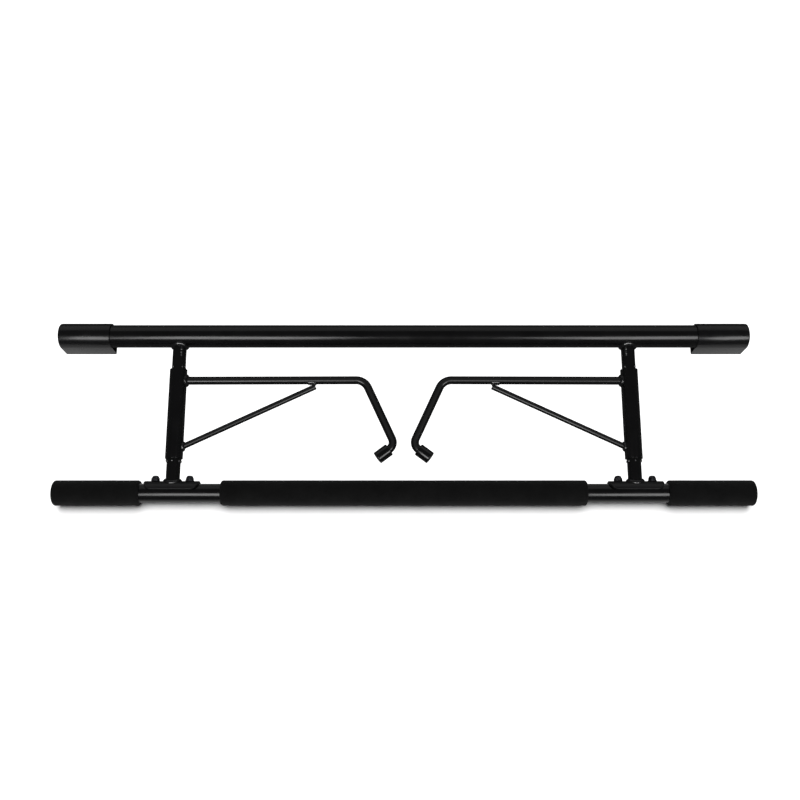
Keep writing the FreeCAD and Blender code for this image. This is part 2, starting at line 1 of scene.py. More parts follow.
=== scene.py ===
import json
import math

import bmesh
import bpy
from mathutils import Matrix, Vector, noise

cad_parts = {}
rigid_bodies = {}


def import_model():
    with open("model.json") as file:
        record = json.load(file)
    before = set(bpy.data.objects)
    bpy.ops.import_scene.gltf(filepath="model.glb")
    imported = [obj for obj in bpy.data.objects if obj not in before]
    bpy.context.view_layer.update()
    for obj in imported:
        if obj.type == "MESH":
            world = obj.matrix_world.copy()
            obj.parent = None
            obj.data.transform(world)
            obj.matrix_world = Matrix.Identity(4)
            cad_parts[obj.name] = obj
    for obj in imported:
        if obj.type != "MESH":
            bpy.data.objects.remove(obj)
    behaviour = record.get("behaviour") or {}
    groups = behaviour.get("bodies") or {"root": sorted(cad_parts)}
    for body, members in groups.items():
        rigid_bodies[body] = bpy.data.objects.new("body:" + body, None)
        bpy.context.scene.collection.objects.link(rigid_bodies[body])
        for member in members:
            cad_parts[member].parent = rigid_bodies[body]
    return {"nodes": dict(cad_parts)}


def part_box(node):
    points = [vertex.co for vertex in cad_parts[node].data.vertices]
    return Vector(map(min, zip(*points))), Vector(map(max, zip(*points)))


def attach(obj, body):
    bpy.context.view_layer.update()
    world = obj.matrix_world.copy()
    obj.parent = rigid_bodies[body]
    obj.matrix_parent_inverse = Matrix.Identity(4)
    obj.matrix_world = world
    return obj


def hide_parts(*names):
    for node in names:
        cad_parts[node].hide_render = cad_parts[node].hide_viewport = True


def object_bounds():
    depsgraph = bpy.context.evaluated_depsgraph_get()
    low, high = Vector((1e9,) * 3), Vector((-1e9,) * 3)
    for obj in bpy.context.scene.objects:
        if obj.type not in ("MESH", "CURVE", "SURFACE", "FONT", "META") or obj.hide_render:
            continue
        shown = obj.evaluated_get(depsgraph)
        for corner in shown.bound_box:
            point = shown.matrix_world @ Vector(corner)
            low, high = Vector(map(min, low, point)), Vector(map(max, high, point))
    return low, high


# A folding doorway pull-up bar, lying flat with both hooks folded in. Everything is in metres, in
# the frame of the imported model: X along the bars, +Y towards the bearing bar, +Z up.

bl_info = {
    "name": "Folding Pull-up Bar",
    "version": (1, 0, 0),
    "blender": (4, 5, 0),
    "location": "View3D > Sidebar > Pull-up Bar",
    "description": "Builds the tubes, grips, hooks, welds and finishes of a folding pull-up bar",
    "category": "Object",
}

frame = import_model()
CAD_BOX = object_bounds()
MM = 0.001
SIDES = (("left", -1), ("right", 1))
MERGE = 1e-7        # points closer than this, in metres, are one point
NEAR = 1e-6         # how close to a plane a point lies to count as on it
FOAM_RING = 0.006   # distance between the rings that the foam's uneven skin is shaped on
SADDLE_CUTS = 20    # cuts to each side of a saddle plate's middle, so that it presses round smoothly

# The welds: how big the drops are, and how finely they are run together
POST_DROP, TACK_DROP, STOP_DROP = 3.1 * MM, 2.3 * MM, 2.5 * MM
ARM_DROP, BRACE_DROP, END_DROP = 3.0 * MM, 2.6 * MM, 2.2 * MM
STOP_GAP = 3.1 * MM     # middle of the stop tacks to the sleeve's end
POST_FINE, HOOK_FINE, TACK_FINE = 0.45 * MM, 0.4 * MM, 0.35 * MM
POST_SINK, ROD_SINK = 0.05 * MM, 0.1 * MM   # how far a cut end sinks into what it is welded to

# The lights, in metres and in radiance: name, place, point aimed at, width, height, radiance, what it lights
SOFTBOXES = (
    ("left_softbox", (-0.80, -1.15, 1.80), (-0.35, 0, 0), 0.95, 0.9, 5.2, "lit"),
    ("right_softbox", (1.22, -1.15, 1.80), (0.35, 0, 0), 1.1, 0.9, 4.6, "lit"),
    ("back_panel", (0, 2.2, 1.1), (0, 0, 0), 4.5, 2.0, 0.28, "lit"),
    ("weld_glint", (0, -0.75, 1.7), (0, 0, 0), 1.7, 0.7, 9.0, "welds"),
    ("rod_glint", (0, -0.95, 1.7), (0, 0, 0), 0.85, 0.9, 2.0, "rods"),
    ("rod_fill", (0, -0.2, 2.2), (0, 0, 0), 4.0, 3.0, 0.2, "rods"),
)
GLOW_WIDTH, GLOW_RADIANCE = 1.4, 0.36
OVERHEAD_SPREAD, OVERHEAD_STRENGTH, OVERHEAD_TILT = math.radians(56), 5.2, math.radians(-16)
AIR_SEEN, AIR_FELT = 1.0, 0.07      # brightness of the air to the camera, and to the object
X, Y, Z = Vector((1, 0, 0)), Vector((0, 1, 0)), Vector((0, 0, 1))


# What the frame says: where the two bars lie, and how the plane through them leans

def middle(node):
    low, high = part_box(node)
    return (low + high) / 2


def extent(node):
    low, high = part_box(node)
    return high - low


GRIP_AXIS = middle("grip_tube")
BEARING_AXIS = middle("bearing_bar_tube")
BAR_SPACING = (BEARING_AXIS - GRIP_AXIS).length
LEAN = math.atan2(BEARING_AXIS.z - GRIP_AXIS.z, BEARING_AXIS.y - GRIP_AXIS.y)
POST_X = abs(middle("right_post_tube").x)
IN_PLANE = Matrix.Translation(GRIP_AXIS) @ Matrix.Rotation(LEAN, 4, "X")


def length_property(name, description, millimetres, low=0.1, high=1500.0):
    """A size of a piece, shown in Blender's own unit of length."""
    return bpy.props.FloatProperty(name=name, description=description, default=millimetres * MM,
                                   min=low * MM, max=high * MM, unit="LENGTH", precision=4)


def angle_property(name, description, degrees):
    return bpy.props.FloatProperty(name=name, description=description, default=math.radians(degrees),
                                   subtype="ANGLE", unit="ROTATION")


def colour_property(name, description, hex_colour):
    return bpy.props.FloatVectorProperty(name=name, description=description, subtype="COLOR", size=3,
                                         min=0.0, max=1.0, default=linear(hex_colour)[:3])


def linear(hex_colour):
    """An sRGB colour such as "1a1a1a" as linear red, green, blue and alpha."""
    channels = [int(hex_colour[k:k + 2], 16) / 255 for k in (0, 2, 4)]
    return tuple(c / 12.92 if c <= 0.04045 else ((c + 0.055) / 1.055) ** 2.4 for c in channels) + (1.0,)


class FrameSizes(bpy.types.PropertyGroup):
    bearing_diameter: length_property("Bearing bar", "Diameter of the tube that presses on the wall",
                                      extent("bearing_bar_tube").z / MM)
    bearing_length: length_property("Bearing bar length", "Its cut length", extent("bearing_bar_tube").x / MM)
    grip_diameter: length_property("Grip tube", "Diameter of the tube that the hands hold", 25.4)
    grip_length: length_property("Grip tube length", "Its cut length", extent("grip_tube").x / MM)
    tube_wall: length_property("Tube wall", "Wall of the tubes", 1.5)
    post_diameter: length_property("Post", "Diameter of the two posts", extent("left_post_tube").x / MM)
    saddle_length: length_property("Saddle length", "Curved plate under a post",
                                   extent("left_saddle_plate").x / MM)
    saddle_thickness: length_property("Saddle thickness", "Its plate", 3.5)
    saddle_corner: length_property("Saddle corner", "Rounding of its corners", 10.0)
    saddle_half_wrap: angle_property("Saddle wrap", "How far it goes round to each side of the post", 76)


class HardwareSizes(bpy.types.PropertyGroup):
    stud_offset: length_property("Stud offset", "Post to the middle of each nut", 23.3)
    washer_diameter: length_property("Washer", "Outside of each washer", 12.0)
    washer_bore: length_property("Washer hole", "Its hole", 6.6)
    washer_thickness: length_property("Washer thickness", "Its thickness", 1.0)
    nut_width: length_property("Nut", "Across its flats", 10.0)
    nut_hexagon: length_property("Nut hexagon", "Height of its hexagon", 3.2)
    nut_height: length_property("Nut height", "Whole height with its dome", 6.5)
    dome_diameter: length_property("Dome", "Diameter of the dome where it leaves the hexagon", 9.6)
    dome_radius: length_property("Dome rounding", "Rounding of the dome", 3.2)
    plug_head: length_property("Plug head", "Thickness of the plug in each end of the grip tube", 3.0)
    plug_bore: length_property("Plug bore", "Radius of the hollow in its shank", 8.0)


class HookSizes(bpy.types.PropertyGroup):
    sleeve_diameter: length_property("Sleeve", "Outside of the swivel sleeve", 24.0)
    sleeve_bore: length_property("Sleeve bore", "Its bore, loose on the post", 19.8)
    sleeve_length: length_property("Sleeve length", "Its length", 126.5)
    sleeve_above_arm: length_property("Sleeve above arm", "Top of the sleeve to the arm's axis", 16.0)
    arm_below_bar: length_property("Arm below bar", "Bearing bar's axis to the arm's axis", 64.6)
    rod_diameter: length_property("Rod", "Round bar of the hook", 11.5)
    arm_reach: length_property("Arm reach", "Post to the corner of the first bend", 260.0)
    first_radius: length_property("First bend radius", "Centre line radius", 18.0)
    drop_length: length_property("Drop", "Corner to corner between the two bends", 102.0)
    second_radius: length_property("Second bend radius", "Centre line radius", 12.5)
    tip_length: length_property("Tip", "Corner of the second bend to the rod's end", 28.5)
    brace_diameter: length_property("Brace", "Thin diagonal rod", 8.0)
    brace_foot: length_property("Brace foot", "Arm's axis to where the brace meets the post's axis", 98.3)
    brace_length: length_property("Brace length", "Post's axis to its square end", 211.0)
    cap_diameter: length_property("Cap", "Cap on the tip", 17.8)
    cap_length: length_property("Cap length", "Its length", 20.5)
    cap_end: length_property("Cap end", "Its closed end", 2.0)
    cap_edge: length_property("Cap edge", "Rounding of its rims", 1.2)
    first_bend: angle_property("First bend", "Angle of the bend at the arm's end", 65.8)
    second_bend: angle_property("Second bend", "Angle of the bend at the tip", 77.9)
    brace_angle: angle_property("Brace angle", "Between the brace and the arm", 25)
    rest_swing: angle_property("Rest swing", "How far the folded hook drops", 2.095)
    arm_rise: angle_property("Arm rise", "How far the arm leans up from its sleeve", 0.7)


class GripSizes(bpy.types.PropertyGroup):
    foam_diameter: length_property("Foam", "Outside of every foam grip", extent("centre_foam_grip").z / MM)
    foam_edge: length_property("Foam edge", "Rounding of its ends", 3.0)
    foam_swell: length_property("Foam unevenness", "How far its skin wanders from round", 0.12, 0.0, 1.0)
    pad_length: length_property("Pad length", "End pad along the bar", extent("left_end_pad").x / MM)
    pad_front: length_property("Pad front", "Radius of the round front", 18.0)
    pad_depth: length_property("Pad depth", "Bar's axis to the flat", 26.0)
    pad_corner: length_property("Pad corner", "Edges beside the flat", 3.0)
    pad_end_round: length_property("Pad end", "Edges round the closed end", 2.5)
    pad_wall: length_property("Pad wall", "Closed end and sole", 3.0)
    pad_bore: length_property("Pad bore", "Radius of the hollow round the bar", 16.3)
    pad_rim: length_property("Pad rim", "Rounding of the open end's rim", 0.45)
    web_first: length_property("First web", "Closed end to the first web", 10.0)
    web_pitch: length_property("Web pitch", "First web to the second", 32.0)
    web_thickness: length_property("Web", "Thickness of a web", 2.5)
    web_root: length_property("Web root", "How far a web grows into the pad's walls", 0.2)
    pad_taper: angle_property("Pad taper", "How far its sides lean apart", 2)


class Finishes(bpy.types.PropertyGroup):
    gloss_paint: colour_property("Gloss paint", "Powder coat of the tubes and hooks", "0d0d0e")
    satin_paint: colour_property("Satin paint", "Powder coat of the saddle plates", "131314")
    black_zinc: colour_property("Black zinc", "Plating of the nuts and washers", "4c4d51")
    foam: colour_property("Foam", "Foam grips", "181818")
    pad_rubber: colour_property("Pad", "Moulded end pads", "101011")
    cap_rubber: colour_property("Cap", "Dipped caps on the hook tips", "0f0f10")
    plug_plastic: colour_property("Plug", "Plugs in the grip tube", "161617")
    floor: colour_property("Floor", "Studio floor", "f2f2f2")


class StageSettings(bpy.types.PropertyGroup):
    distance: length_property("Distance", "Camera to the middle of the bar", 1317, 200, 9000)
    elevation: angle_property("Elevation", "Camera above the floor", 74.47)
    aim_right: length_property("Aim right", "How far right of the bar's middle the camera aims", -5.3,
                               -99, 99)
    aim_up: length_property("Aim up", "How far up in its view the camera aims", 17.4, -99, 99)
    lens: bpy.props.FloatProperty(name="Lens", description="Focal length in mm on a 36 mm sensor",
                                  default=42.8, min=10, max=200)


GROUPS = (("frame_sizes", FrameSizes), ("hardware", HardwareSizes), ("hooks", HookSizes),
          ("grips", GripSizes), ("finishes", Finishes), ("stage", StageSettings))


class PullUpBar(bpy.types.PropertyGroup):
    frame_sizes: bpy.props.PointerProperty(type=FrameSizes)
    hardware: bpy.props.PointerProperty(type=HardwareSizes)
    hooks: bpy.props.PointerProperty(type=HookSizes)
    grips: bpy.props.PointerProperty(type=GripSizes)
    finishes: bpy.props.PointerProperty(type=Finishes)
    stage: bpy.props.PointerProperty(type=StageSettings)


def settings():
    return bpy.context.scene.pull_up_bar


# Mesh helpers

def outline(bm, points, closed=False):
    """A wire through a few corner points."""
    corners = [bm.verts.new(point) for point in points]
    for a, b in zip(corners, corners[1:]):
        bm.edges.new((a, b))
    if closed:
        bm.edges.new((corners[-1], corners[0]))
    return corners


def round_corner(bm, corners, radius, turn=math.pi / 2, segments=5):
    """Rounds corners of a wire, where turn is how far the wire turns there."""
    bmesh.ops.bevel(bm, geom=corners, offset=radius * math.tan(turn / 2), offset_type="OFFSET",
                    affect="VERTICES", segments=segments, profile=0.5, material=-1)


def spin(bm, geom, centre, axis, turn, steps, merge=False):
    return bmesh.ops.spin(bm, geom=geom, cent=centre, axis=axis, dvec=(0, 0, 0), angle=turn, steps=steps,
                          use_merge=merge, use_normal_flip=False, use_duplicate=False)


def round_edges(bm, edges, width, segments=3):
    bmesh.ops.bevel(bm, geom=edges, offset=width, offset_type="OFFSET", affect="EDGES", segments=segments,
                    profile=0.5, material=-1)


def only(kind, geom):
    """The vertices, edges or faces among what an operator made."""
    return [made for made in geom if isinstance(made, kind)]


def slice_at(bm, point, normal, nearness):
    """Cuts a mesh across without parting it, so that it can be bent there."""
    bmesh.ops.bisect_plane(bm, geom=bm.verts[:] + bm.edges[:] + bm.faces[:], dist=nearness,
                           plane_co=point, plane_no=normal)


def lathe(bm, corners_and_radii, axis=X, steps=96, closed=True):
    """Spins an outline of (along, out, rounding) corners all the way round an axis."""
    side = Y if axis != Y else Z
    corners = outline(bm, [axis * along + side * out for along, out, _ in corners_and_radii], closed)
    for corner, (_, _, rounding) in zip(corners, corners_and_radii):
        if rounding:
            round_corner(bm, [corner], rounding)
    spin(bm, bm.verts[:] + bm.edges[:], (0, 0, 0), axis, math.tau, steps, merge=True)
    bmesh.ops.remove_doubles(bm, verts=bm.verts, dist=MERGE)
    bmesh.ops.recalc_face_normals(bm, faces=bm.faces)


def tube_profile(low, high, outer, inner, rounding=0.0):
    """The four corners of a tube's wall, from low to high along its axis."""
    return [(low, outer, rounding), (high, outer, rounding), (high, inner, 0), (low, inner, 0)]


def merged_from(meshes):
    """One bmesh holding all these meshes."""
    bm = bmesh.new()
    for mesh in meshes:
        bm.from_mesh(mesh)
        bpy.data.meshes.remove(mesh)
    return bm


def as_mesh(bm, name="part"):
    mesh = bpy.data.meshes.new(name)
    bm.to_mesh(mesh)
    bm.free()
    return mesh


def piece(name, bm, body, finish, place=None, stands_for=(), sharp=35):
    """Makes a bmesh a finished piece that rides on a body."""
    if not bm.faces:
        raise RuntimeError(f"{name} has no faces")
    if place is not None:
        bmesh.ops.transform(bm, matrix=place, verts=bm.verts)
    for face in bm.faces:
        face.smooth = True
    mesh = as_mesh(bm, name)
    mesh.set_sharp_from_angle(angle=math.radians(sharp))
    mesh.materials.append(finish)
    made = bpy.data.objects.new(name, mesh)
    bpy.context.scene.collection.objects.link(made)
    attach(made, body)
    if stands_for:
        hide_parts(*stands_for)
    return made


def wander(point, scale, seed=0.0):
    """Smooth noise from -1 to 1 that repeats over about the given length."""
    return noise.noise(point / scale + Vector((seed, seed * 1.7, seed * 2.3)))


def level_on(point, direction, centre, axis, radius):
    """How far along a direction a line from a point first comes out of a round bar's surface."""
    out = (point - centre) - axis * (point - centre).dot(axis)
    run = direction - axis * direction.dot(axis)
    a, b, c = run.dot(run), out.dot(run), out.dot(out) - radius * radius
    return (-b + math.sqrt(max(b * b - a * c, 0.0))) / a


def cope(verts, direction, centre, axis, radius, sink=0.0):
    """Slides the ends of a bar along it until they lie on the round bar that it meets."""
    for vert in verts:
        vert.co += direction * (level_on(vert.co, direction, centre, axis, radius) - sink)


# Welds: one flattened drop of metal for each pulse of the torch, laid along the joint and run together

def weld(drops, name, fineness):
    """Joins drops, each a place, a forward direction, an outward direction and a size, into one bead."""
    bm = bmesh.new()
    for number, (place, forward, outward, size) in enumerate(drops):
        forward = (forward - outward * forward.dot(outward)).normalized()
        across = outward.cross(forward)
        tilt = (outward + forward * 0.35).normalized()
        ahead = across.cross(tilt) * -1
        turn = Matrix((ahead, across, tilt)).transposed().to_4x4()
        swell = 1 + 0.12 * wander(place, 0.004, number * 0.61)
        reach = Matrix.Diagonal((size * 0.78 * swell, size * swell, size * 0.62 * swell, 1))
        bmesh.ops.create_uvsphere(bm, u_segments=16, v_segments=10, radius=1,
                                  matrix=Matrix.Translation(place) @ turn @ reach)
    mesh = as_mesh(bm)
    holder = bpy.data.objects.new(name + "_drops", mesh)
    bpy.context.scene.collection.objects.link(holder)
    remesh = holder.modifiers.new("run_together", "REMESH")
    remesh.mode = "VOXEL"
    remesh.voxel_size = fineness
    bpy.context.view_layer.update()
    fused = bpy.data.meshes.new_from_object(holder.evaluated_get(bpy.context.evaluated_depsgraph_get()))
    bpy.data.objects.remove(holder)
    bpy.data.meshes.remove(mesh)
    made = bmesh.new()
    made.from_mesh(fused)
    bpy.data.meshes.remove(fused)
    bmesh.ops.smooth_vert(made, verts=made.verts, factor=0.5,
                          use_axis_x=True, use_axis_y=True, use_axis_z=True)
    return made


def joint_drops(start, along, bar_radius, centre, axis, other_radius, size, count, stand=0.35):
    """Drops round a bar where it runs into a rounder one, standing a little off the corner."""
    side = along.orthogonal().normalized()
    front = along.cross(side)
    places = []
    for number in range(count + 1):
        turn = math.tau * number / count
        outward = side * math.cos(turn) + front * math.sin(turn)
        edge = start + outward * bar_radius
        place = edge + along * level_on(edge, along, centre, axis, other_radius)
        away = (place - centre) - axis * (place - centre).dot(axis)
        lift = (outward + away.normalized() * 0.9).normalized()
        places.append((place, lift))
    drops = []
    for number in range(count):
        place, lift = places[number]
        forward = (places[number + 1][0] - place).normalized()
        drops.append((place + lift * size * stand, forward, lift, size))
    return drops


def bead_run(start, forward, outward, size, count, pitch):
    """A short straight bead."""
    return [(start + forward * pitch * number, forward, outward,
             size * (1 + 0.1 * math.sin(number * 2.4))) for number in range(count)]


# Material helpers

def add_node(tree, kind, label="", links=None, stops=(), **values):
    """Adds a node: links maps its inputs to other nodes' outputs, values set inputs or properties, and
    stops are a colour ramp's (position, linear colour)."""
    made = tree.nodes.new(kind)
    made.label = label
    while stops and len(made.color_ramp.elements) < len(stops):
        made.color_ramp.elements.new(0.5)
    for number, (position, colour) in enumerate(stops):
        element = made.color_ramp.elements[number]
        element.position, element.color = position, colour
    for name, value in values.items():
        key = name.replace("_", " ")
        socket = next((s for s in made.inputs if s.name.lower() == key.lower()), None)
        if hasattr(made, name):
            setattr(made, name, value)
        elif socket is not None:
            socket.default_value = value
        else:
            raise RuntimeError(f"{kind} has no {name}")
    for name, source in (links or {}).items():
        tree.links.new(source, made.inputs[name])
    return made


def new_material(name):
    made = bpy.data.materials.new(name)
    made.use_nodes = True
    made.node_tree.nodes.clear()
    return made, made.node_tree


def shade(colour, factor):
    return tuple(min(1.0, c * factor) for c in tuple(colour)[:3]) + (1.0,)


def grey(value):
    return (value, value, value, 1.0)


def painted_steel(name, colour, roughness, peel, peel_size):
    """Powder coat on steel: gives a deep black with a slightly rippled, crisp highlight. Peel is the
    orange peel, 1.5 to 3 mm across, that comes from the powder flowing out in the oven."""
    made, tree = new_material(name)
    where = add_node(tree, "ShaderNodeTexCoord")
    # Film thickness varies over a few centimetres, which shifts the gloss a little.
    film = add_node(tree, "ShaderNodeTexNoise", "film thickness", links={"Vector": where.outputs["Object"]},
                    Scale=1 / 0.03, Detail=3.0, Roughness=0.55)
    tone = add_node(tree, "ShaderNodeValToRGB", "tone", links={"Fac": film.outputs["Fac"]},
                    stops=[(0.35, shade(colour, 0.85)), (0.7, shade(colour, 1.25))])
    dull = add_node(tree, "ShaderNodeMapRange", "gloss", links={"Value": film.outputs["Fac"]},
                    From_Min=0.3, From_Max=0.75, To_Min=roughness * 0.85, To_Max=roughness * 1.25)
    ripples = add_node(tree, "ShaderNodeTexNoise", "orange peel", links={"Vector": where.outputs["Object"]},
                       Scale=1 / peel_size, Detail=1.5, Roughness=0.4)
    # Specks of powder that did not melt flat, on a 0.5 mm pattern.
    specks = add_node(tree, "ShaderNodeTexNoise", "specks", links={"Vector": where.outputs["Object"]},
                      Scale=1 / 0.0005, Detail=2.0, Roughness=0.6)
    fine = add_node(tree, "ShaderNodeBump", "specks", links={"Height": specks.outputs["Fac"]},
                    Strength=0.05, Distance=0.00005)
    bump = add_node(tree, "ShaderNodeBump", "orange peel", Strength=peel, Distance=0.0002,
                    links={"Height": ripples.outputs["Fac"], "Normal": fine.outputs["Normal"]})
    shader = add_node(tree, "ShaderNodeBsdfPrincipled", name, IOR=1.5,
                      links={"Base Color": tone.outputs["Color"], "Roughness": dull.outputs["Result"],
                             "Normal": bump.outputs["Normal"]})
    add_node(tree, "ShaderNodeOutputMaterial", links={"Surface": shader.outputs["BSDF"]})
    return made


def gloss_paint():
    """Gloss black powder coat over drawn tube and bar."""
    return painted_steel("gloss_black_powder_coat", settings().finishes.gloss_paint, 0.20, 0.05, 0.0022)


def weld_paint():
    """The same coat over weld beads, where it pools and shines a little more."""
    return painted_steel("gloss_black_powder_coat_on_weld", settings().finishes.gloss_paint,
                         0.16, 0.25, 0.0012)


def satin_paint():
    """Satin black powder coat over pressed plate: a softer, wider sheen."""
    return painted_steel("satin_black_powder_coat", settings().finishes.satin_paint, 0.34, 0.3, 0.0012)


def black_zinc():
    """Black zinc plating on steel: a dark metal with a patchy grey shine and bright rubbed spots."""
    colour = settings().finishes.black_zinc
    made, tree = new_material("black_zinc_plated_steel")
    where = add_node(tree, "ShaderNodeTexCoord")
    blotches = add_node(tree, "ShaderNodeTexNoise", "plating", links={"Vector": where.outputs["Object"]},
                        Scale=1 / 0.0022, Detail=4.0, Roughness=0.65)
    tone = add_node(tree, "ShaderNodeValToRGB", "tone", links={"Fac": blotches.outputs["Fac"]},
                    stops=[(0.35, shade(colour, 0.25)), (0.5, shade(colour, 1.0)),
                           (0.64, shade(colour, 3.4))])
    dull = add_node(tree, "ShaderNodeMapRange", "plating gloss", links={"Value": blotches.outputs["Fac"]},
                    From_Min=0.3, From_Max=0.7, To_Min=0.42, To_Max=0.24)
    bump = add_node(tree, "ShaderNodeBump", "plating", links={"Height": blotches.outputs["Fac"]},
                    Strength=0.15, Distance=0.0001)
    shader = add_node(tree, "ShaderNodeBsdfPrincipled", "black zinc", Metallic=0.85,
                      links={"Base Color": tone.outputs["Color"], "Roughness": dull.outputs["Result"],
                             "Normal": bump.outputs["Normal"]})
    add_node(tree, "ShaderNodeOutputMaterial", links={"Surface": shader.outputs["BSDF"]})
    return made


def grip_foam():
    """Cut closed-cell NBR foam: dead matt black with fine open cells, drawn 0.9 mm apart where
    real ones are 0.3 mm so that they show, with painted shade darkening their hollows, and a faint pale bloom
    along the skin."""
    colour = settings().finishes.foam
    made, tree = new_material("nbr_foam_cut_skin")
    where = add_node(tree, "ShaderNodeTexCoord")
    cells = add_node(tree, "ShaderNodeTexVoronoi", "cells", links={"Vector": where.outputs["Object"]},
                     Scale=1 / 0.0009, Randomness=1.0)
    grain = add_node(tree, "ShaderNodeTexNoise", "grain", links={"Vector": where.outputs["Object"]},
                     Scale=1 / 0.0006, Detail=4.0, Roughness=0.7)
    cloud = add_node(tree, "ShaderNodeTexNoise", "bloom", links={"Vector": where.outputs["Object"]},
                     Scale=1 / 0.02, Detail=4.0, Roughness=0.6)
    tone = add_node(tree, "ShaderNodeValToRGB", "tone", links={"Fac": cloud.outputs["Fac"]},
                    stops=[(0.3, shade(colour, 0.8)), (0.7, shade(colour, 1.2))])
    # Painted shade: the base colour is darkened towards the middle of each cell, standing in for the shade in
    # the cells' hollows.
    painted_pit_shade = add_node(tree, "ShaderNodeValToRGB", "painted pit shade", links={"Fac": cells.outputs["Distance"]},
                    stops=[(0.0, grey(0.55)), (0.45, grey(1.0))])
    base = add_node(tree, "ShaderNodeMixRGB", "painted_pit_shade", blend_type="MULTIPLY", Fac=1.0,
                    links={"Color1": tone.outputs["Color"], "Color2": painted_pit_shade.outputs["Color"]})
    skin = add_node(tree, "ShaderNodeBump", "grain", Strength=0.5, Distance=0.00025,
                    links={"Height": grain.outputs["Fac"]})
    bump = add_node(tree, "ShaderNodeBump", "cells", Strength=0.45, Distance=0.0004,
                    links={"Height": cells.outputs["Distance"], "Normal": skin.outputs["Normal"]})
    shader = add_node(tree, "ShaderNodeBsdfPrincipled", "foam", Roughness=0.93, IOR=1.45,
                      Specular_IOR_Level=0.14, Sheen_Weight=0.03, Sheen_Roughness=0.5,
                      links={"Base Color": base.outputs["Color"], "Normal": bump.outputs["Normal"]})
    add_node(tree, "ShaderNodeOutputMaterial", links={"Surface": shader.outputs["BSDF"]})
    return made


def moulded(name, colour, roughness, ior, grain_size, grain_depth, note):
    """Moulded rubber or plastic: the tool's fine grain softens its highlight."""
    made, tree = new_material(name)
    where = add_node(tree, "ShaderNodeTexCoord")
    cloud = add_node(tree, "ShaderNodeTexNoise", note, links={"Vector": where.outputs["Object"]},
                     Scale=1 / 0.015, Detail=4.0, Roughness=0.6)
    tone = add_node(tree, "ShaderNodeValToRGB", "tone", links={"Fac": cloud.outputs["Fac"]},
                    stops=[(0.3, shade(colour, 0.85)), (0.7, shade(colour, 1.2))])
    dull = add_node(tree, "ShaderNodeMapRange", "handling", links={"Value": cloud.outputs["Fac"]},
                    From_Min=0.3, From_Max=0.7, To_Min=roughness * 0.85, To_Max=roughness * 1.2)
    grain = add_node(tree, "ShaderNodeTexNoise", "tool grain", links={"Vector": where.outputs["Object"]},
                     Scale=1 / grain_size, Detail=2.0, Roughness=0.5)
    bump = add_node(tree, "ShaderNodeBump", "tool grain", links={"Height": grain.outputs["Fac"]},
                    Strength=0.3, Distance=grain_depth)
    shader = add_node(tree, "ShaderNodeBsdfPrincipled", name, IOR=ior,
                      links={"Base Color": tone.outputs["Color"], "Roughness": dull.outputs["Result"],
                             "Normal": bump.outputs["Normal"]})
    add_node(tree, "ShaderNodeOutputMaterial", links={"Surface": shader.outputs["BSDF"]})
    return made


def pad_rubber():
    """Moulded PVC pad, fine spark-eroded grain: shines like the tube but a little softer."""
    return moulded("moulded_pvc_pad", settings().finishes.pad_rubber, 0.24, 1.53, 0.0009, 0.00002,
                   "flow marks")


def cap_rubber():
    """Dipped vinyl cap: smooth and glossy."""
    return moulded("dipped_vinyl_cap", settings().finishes.cap_rubber, 0.17, 1.53, 0.003, 0.0001, "dip marks")


def plug_plastic():
    """Moulded polyethylene plug: waxy, soft shine."""
    return moulded("moulded_polyethylene_plug", settings().finishes.plug_plastic, 0.38, 1.51, 0.0006, 0.00005,
                   "flow marks")


def finish(maker):
    """The material of a finish, made once."""
    known = bpy.context.scene.get("pull_up_bar_finishes", {})
    name = known.get(maker.__name__)
    if name is None:
        name = maker().name
        bpy.context.scene["pull_up_bar_finishes"] = {**dict(known), maker.__name__: name}
    return bpy.data.materials[name]


# Operators, one for each piece or group of like pieces

class BarOperator:
    bl_options = {"REGISTER", "UNDO"}


class PULLUP_OT_bearing_bar(BarOperator, bpy.types.Operator):
    """Builds the plain round tube that presses on the wall"""
    bl_idname = "pullup.bearing_bar"
    bl_label = "Bearing Bar"

    def execute(self, context):
        sizes = settings().frame_sizes
        bm = bmesh.new()
        half, radius = sizes.bearing_length / 2, sizes.bearing_diameter / 2
        lathe(bm, tube_profile(-half, half, radius, radius - sizes.tube_wall, 0.4 * MM), steps=128)
        piece("bearing_bar", bm, "frame", finish(gloss_paint),
              Matrix.Translation(BEARING_AXIS), ["bearing_bar_tube"])
        return {"FINISHED"}


class PULLUP_OT_grip_bar(BarOperator, bpy.types.Operator):
    """Builds the tube that carries the foam, and the plugs in its ends"""
    bl_idname = "pullup.grip_bar"
    bl_label = "Grip Bar"

    def execute(self, context):
        sizes, hardware = settings().frame_sizes, settings().hardware
        bm = bmesh.new()
        half, radius = sizes.grip_length / 2, sizes.grip_diameter / 2
        lathe(bm, tube_profile(-half, half, radius, radius - sizes.tube_wall, 0.3 * MM))
        piece("grip_bar_tube", bm, "frame", finish(gloss_paint), IN_PLANE,
              ["grip_tube"])
        for name, side in SIDES:
            bm = bmesh.new()
            head, shank = hardware.plug_head, extent(name + "_grip_end_plug").x - hardware.plug_head
            fit = radius - sizes.tube_wall
            # A shallow dish in the head, and a hollow shank inside the tube.
            dish = head - 0.7 * MM
            lathe(bm, [(dish, 0, 0), (dish, radius * 0.55, 0.4 * MM), (head, radius * 0.62, 0.4 * MM),
                       (head, radius, 1.0 * MM), (0, radius, 0), (0, fit, 0), (-shank, fit, 0),
                       (-shank, hardware.plug_bore, 0), (0, hardware.plug_bore, 0), (0, 0, 0)], closed=False)
            outward = Matrix.Rotation(0 if side > 0 else math.pi, 4, "Z")
            place = IN_PLANE @ Matrix.Translation((side * half, 0, 0)) @ outward
            piece(name + "_tube_plug", bm, "frame", finish(plug_plastic), place,
                  [name + "_grip_end_plug"])
        return {"FINISHED"}


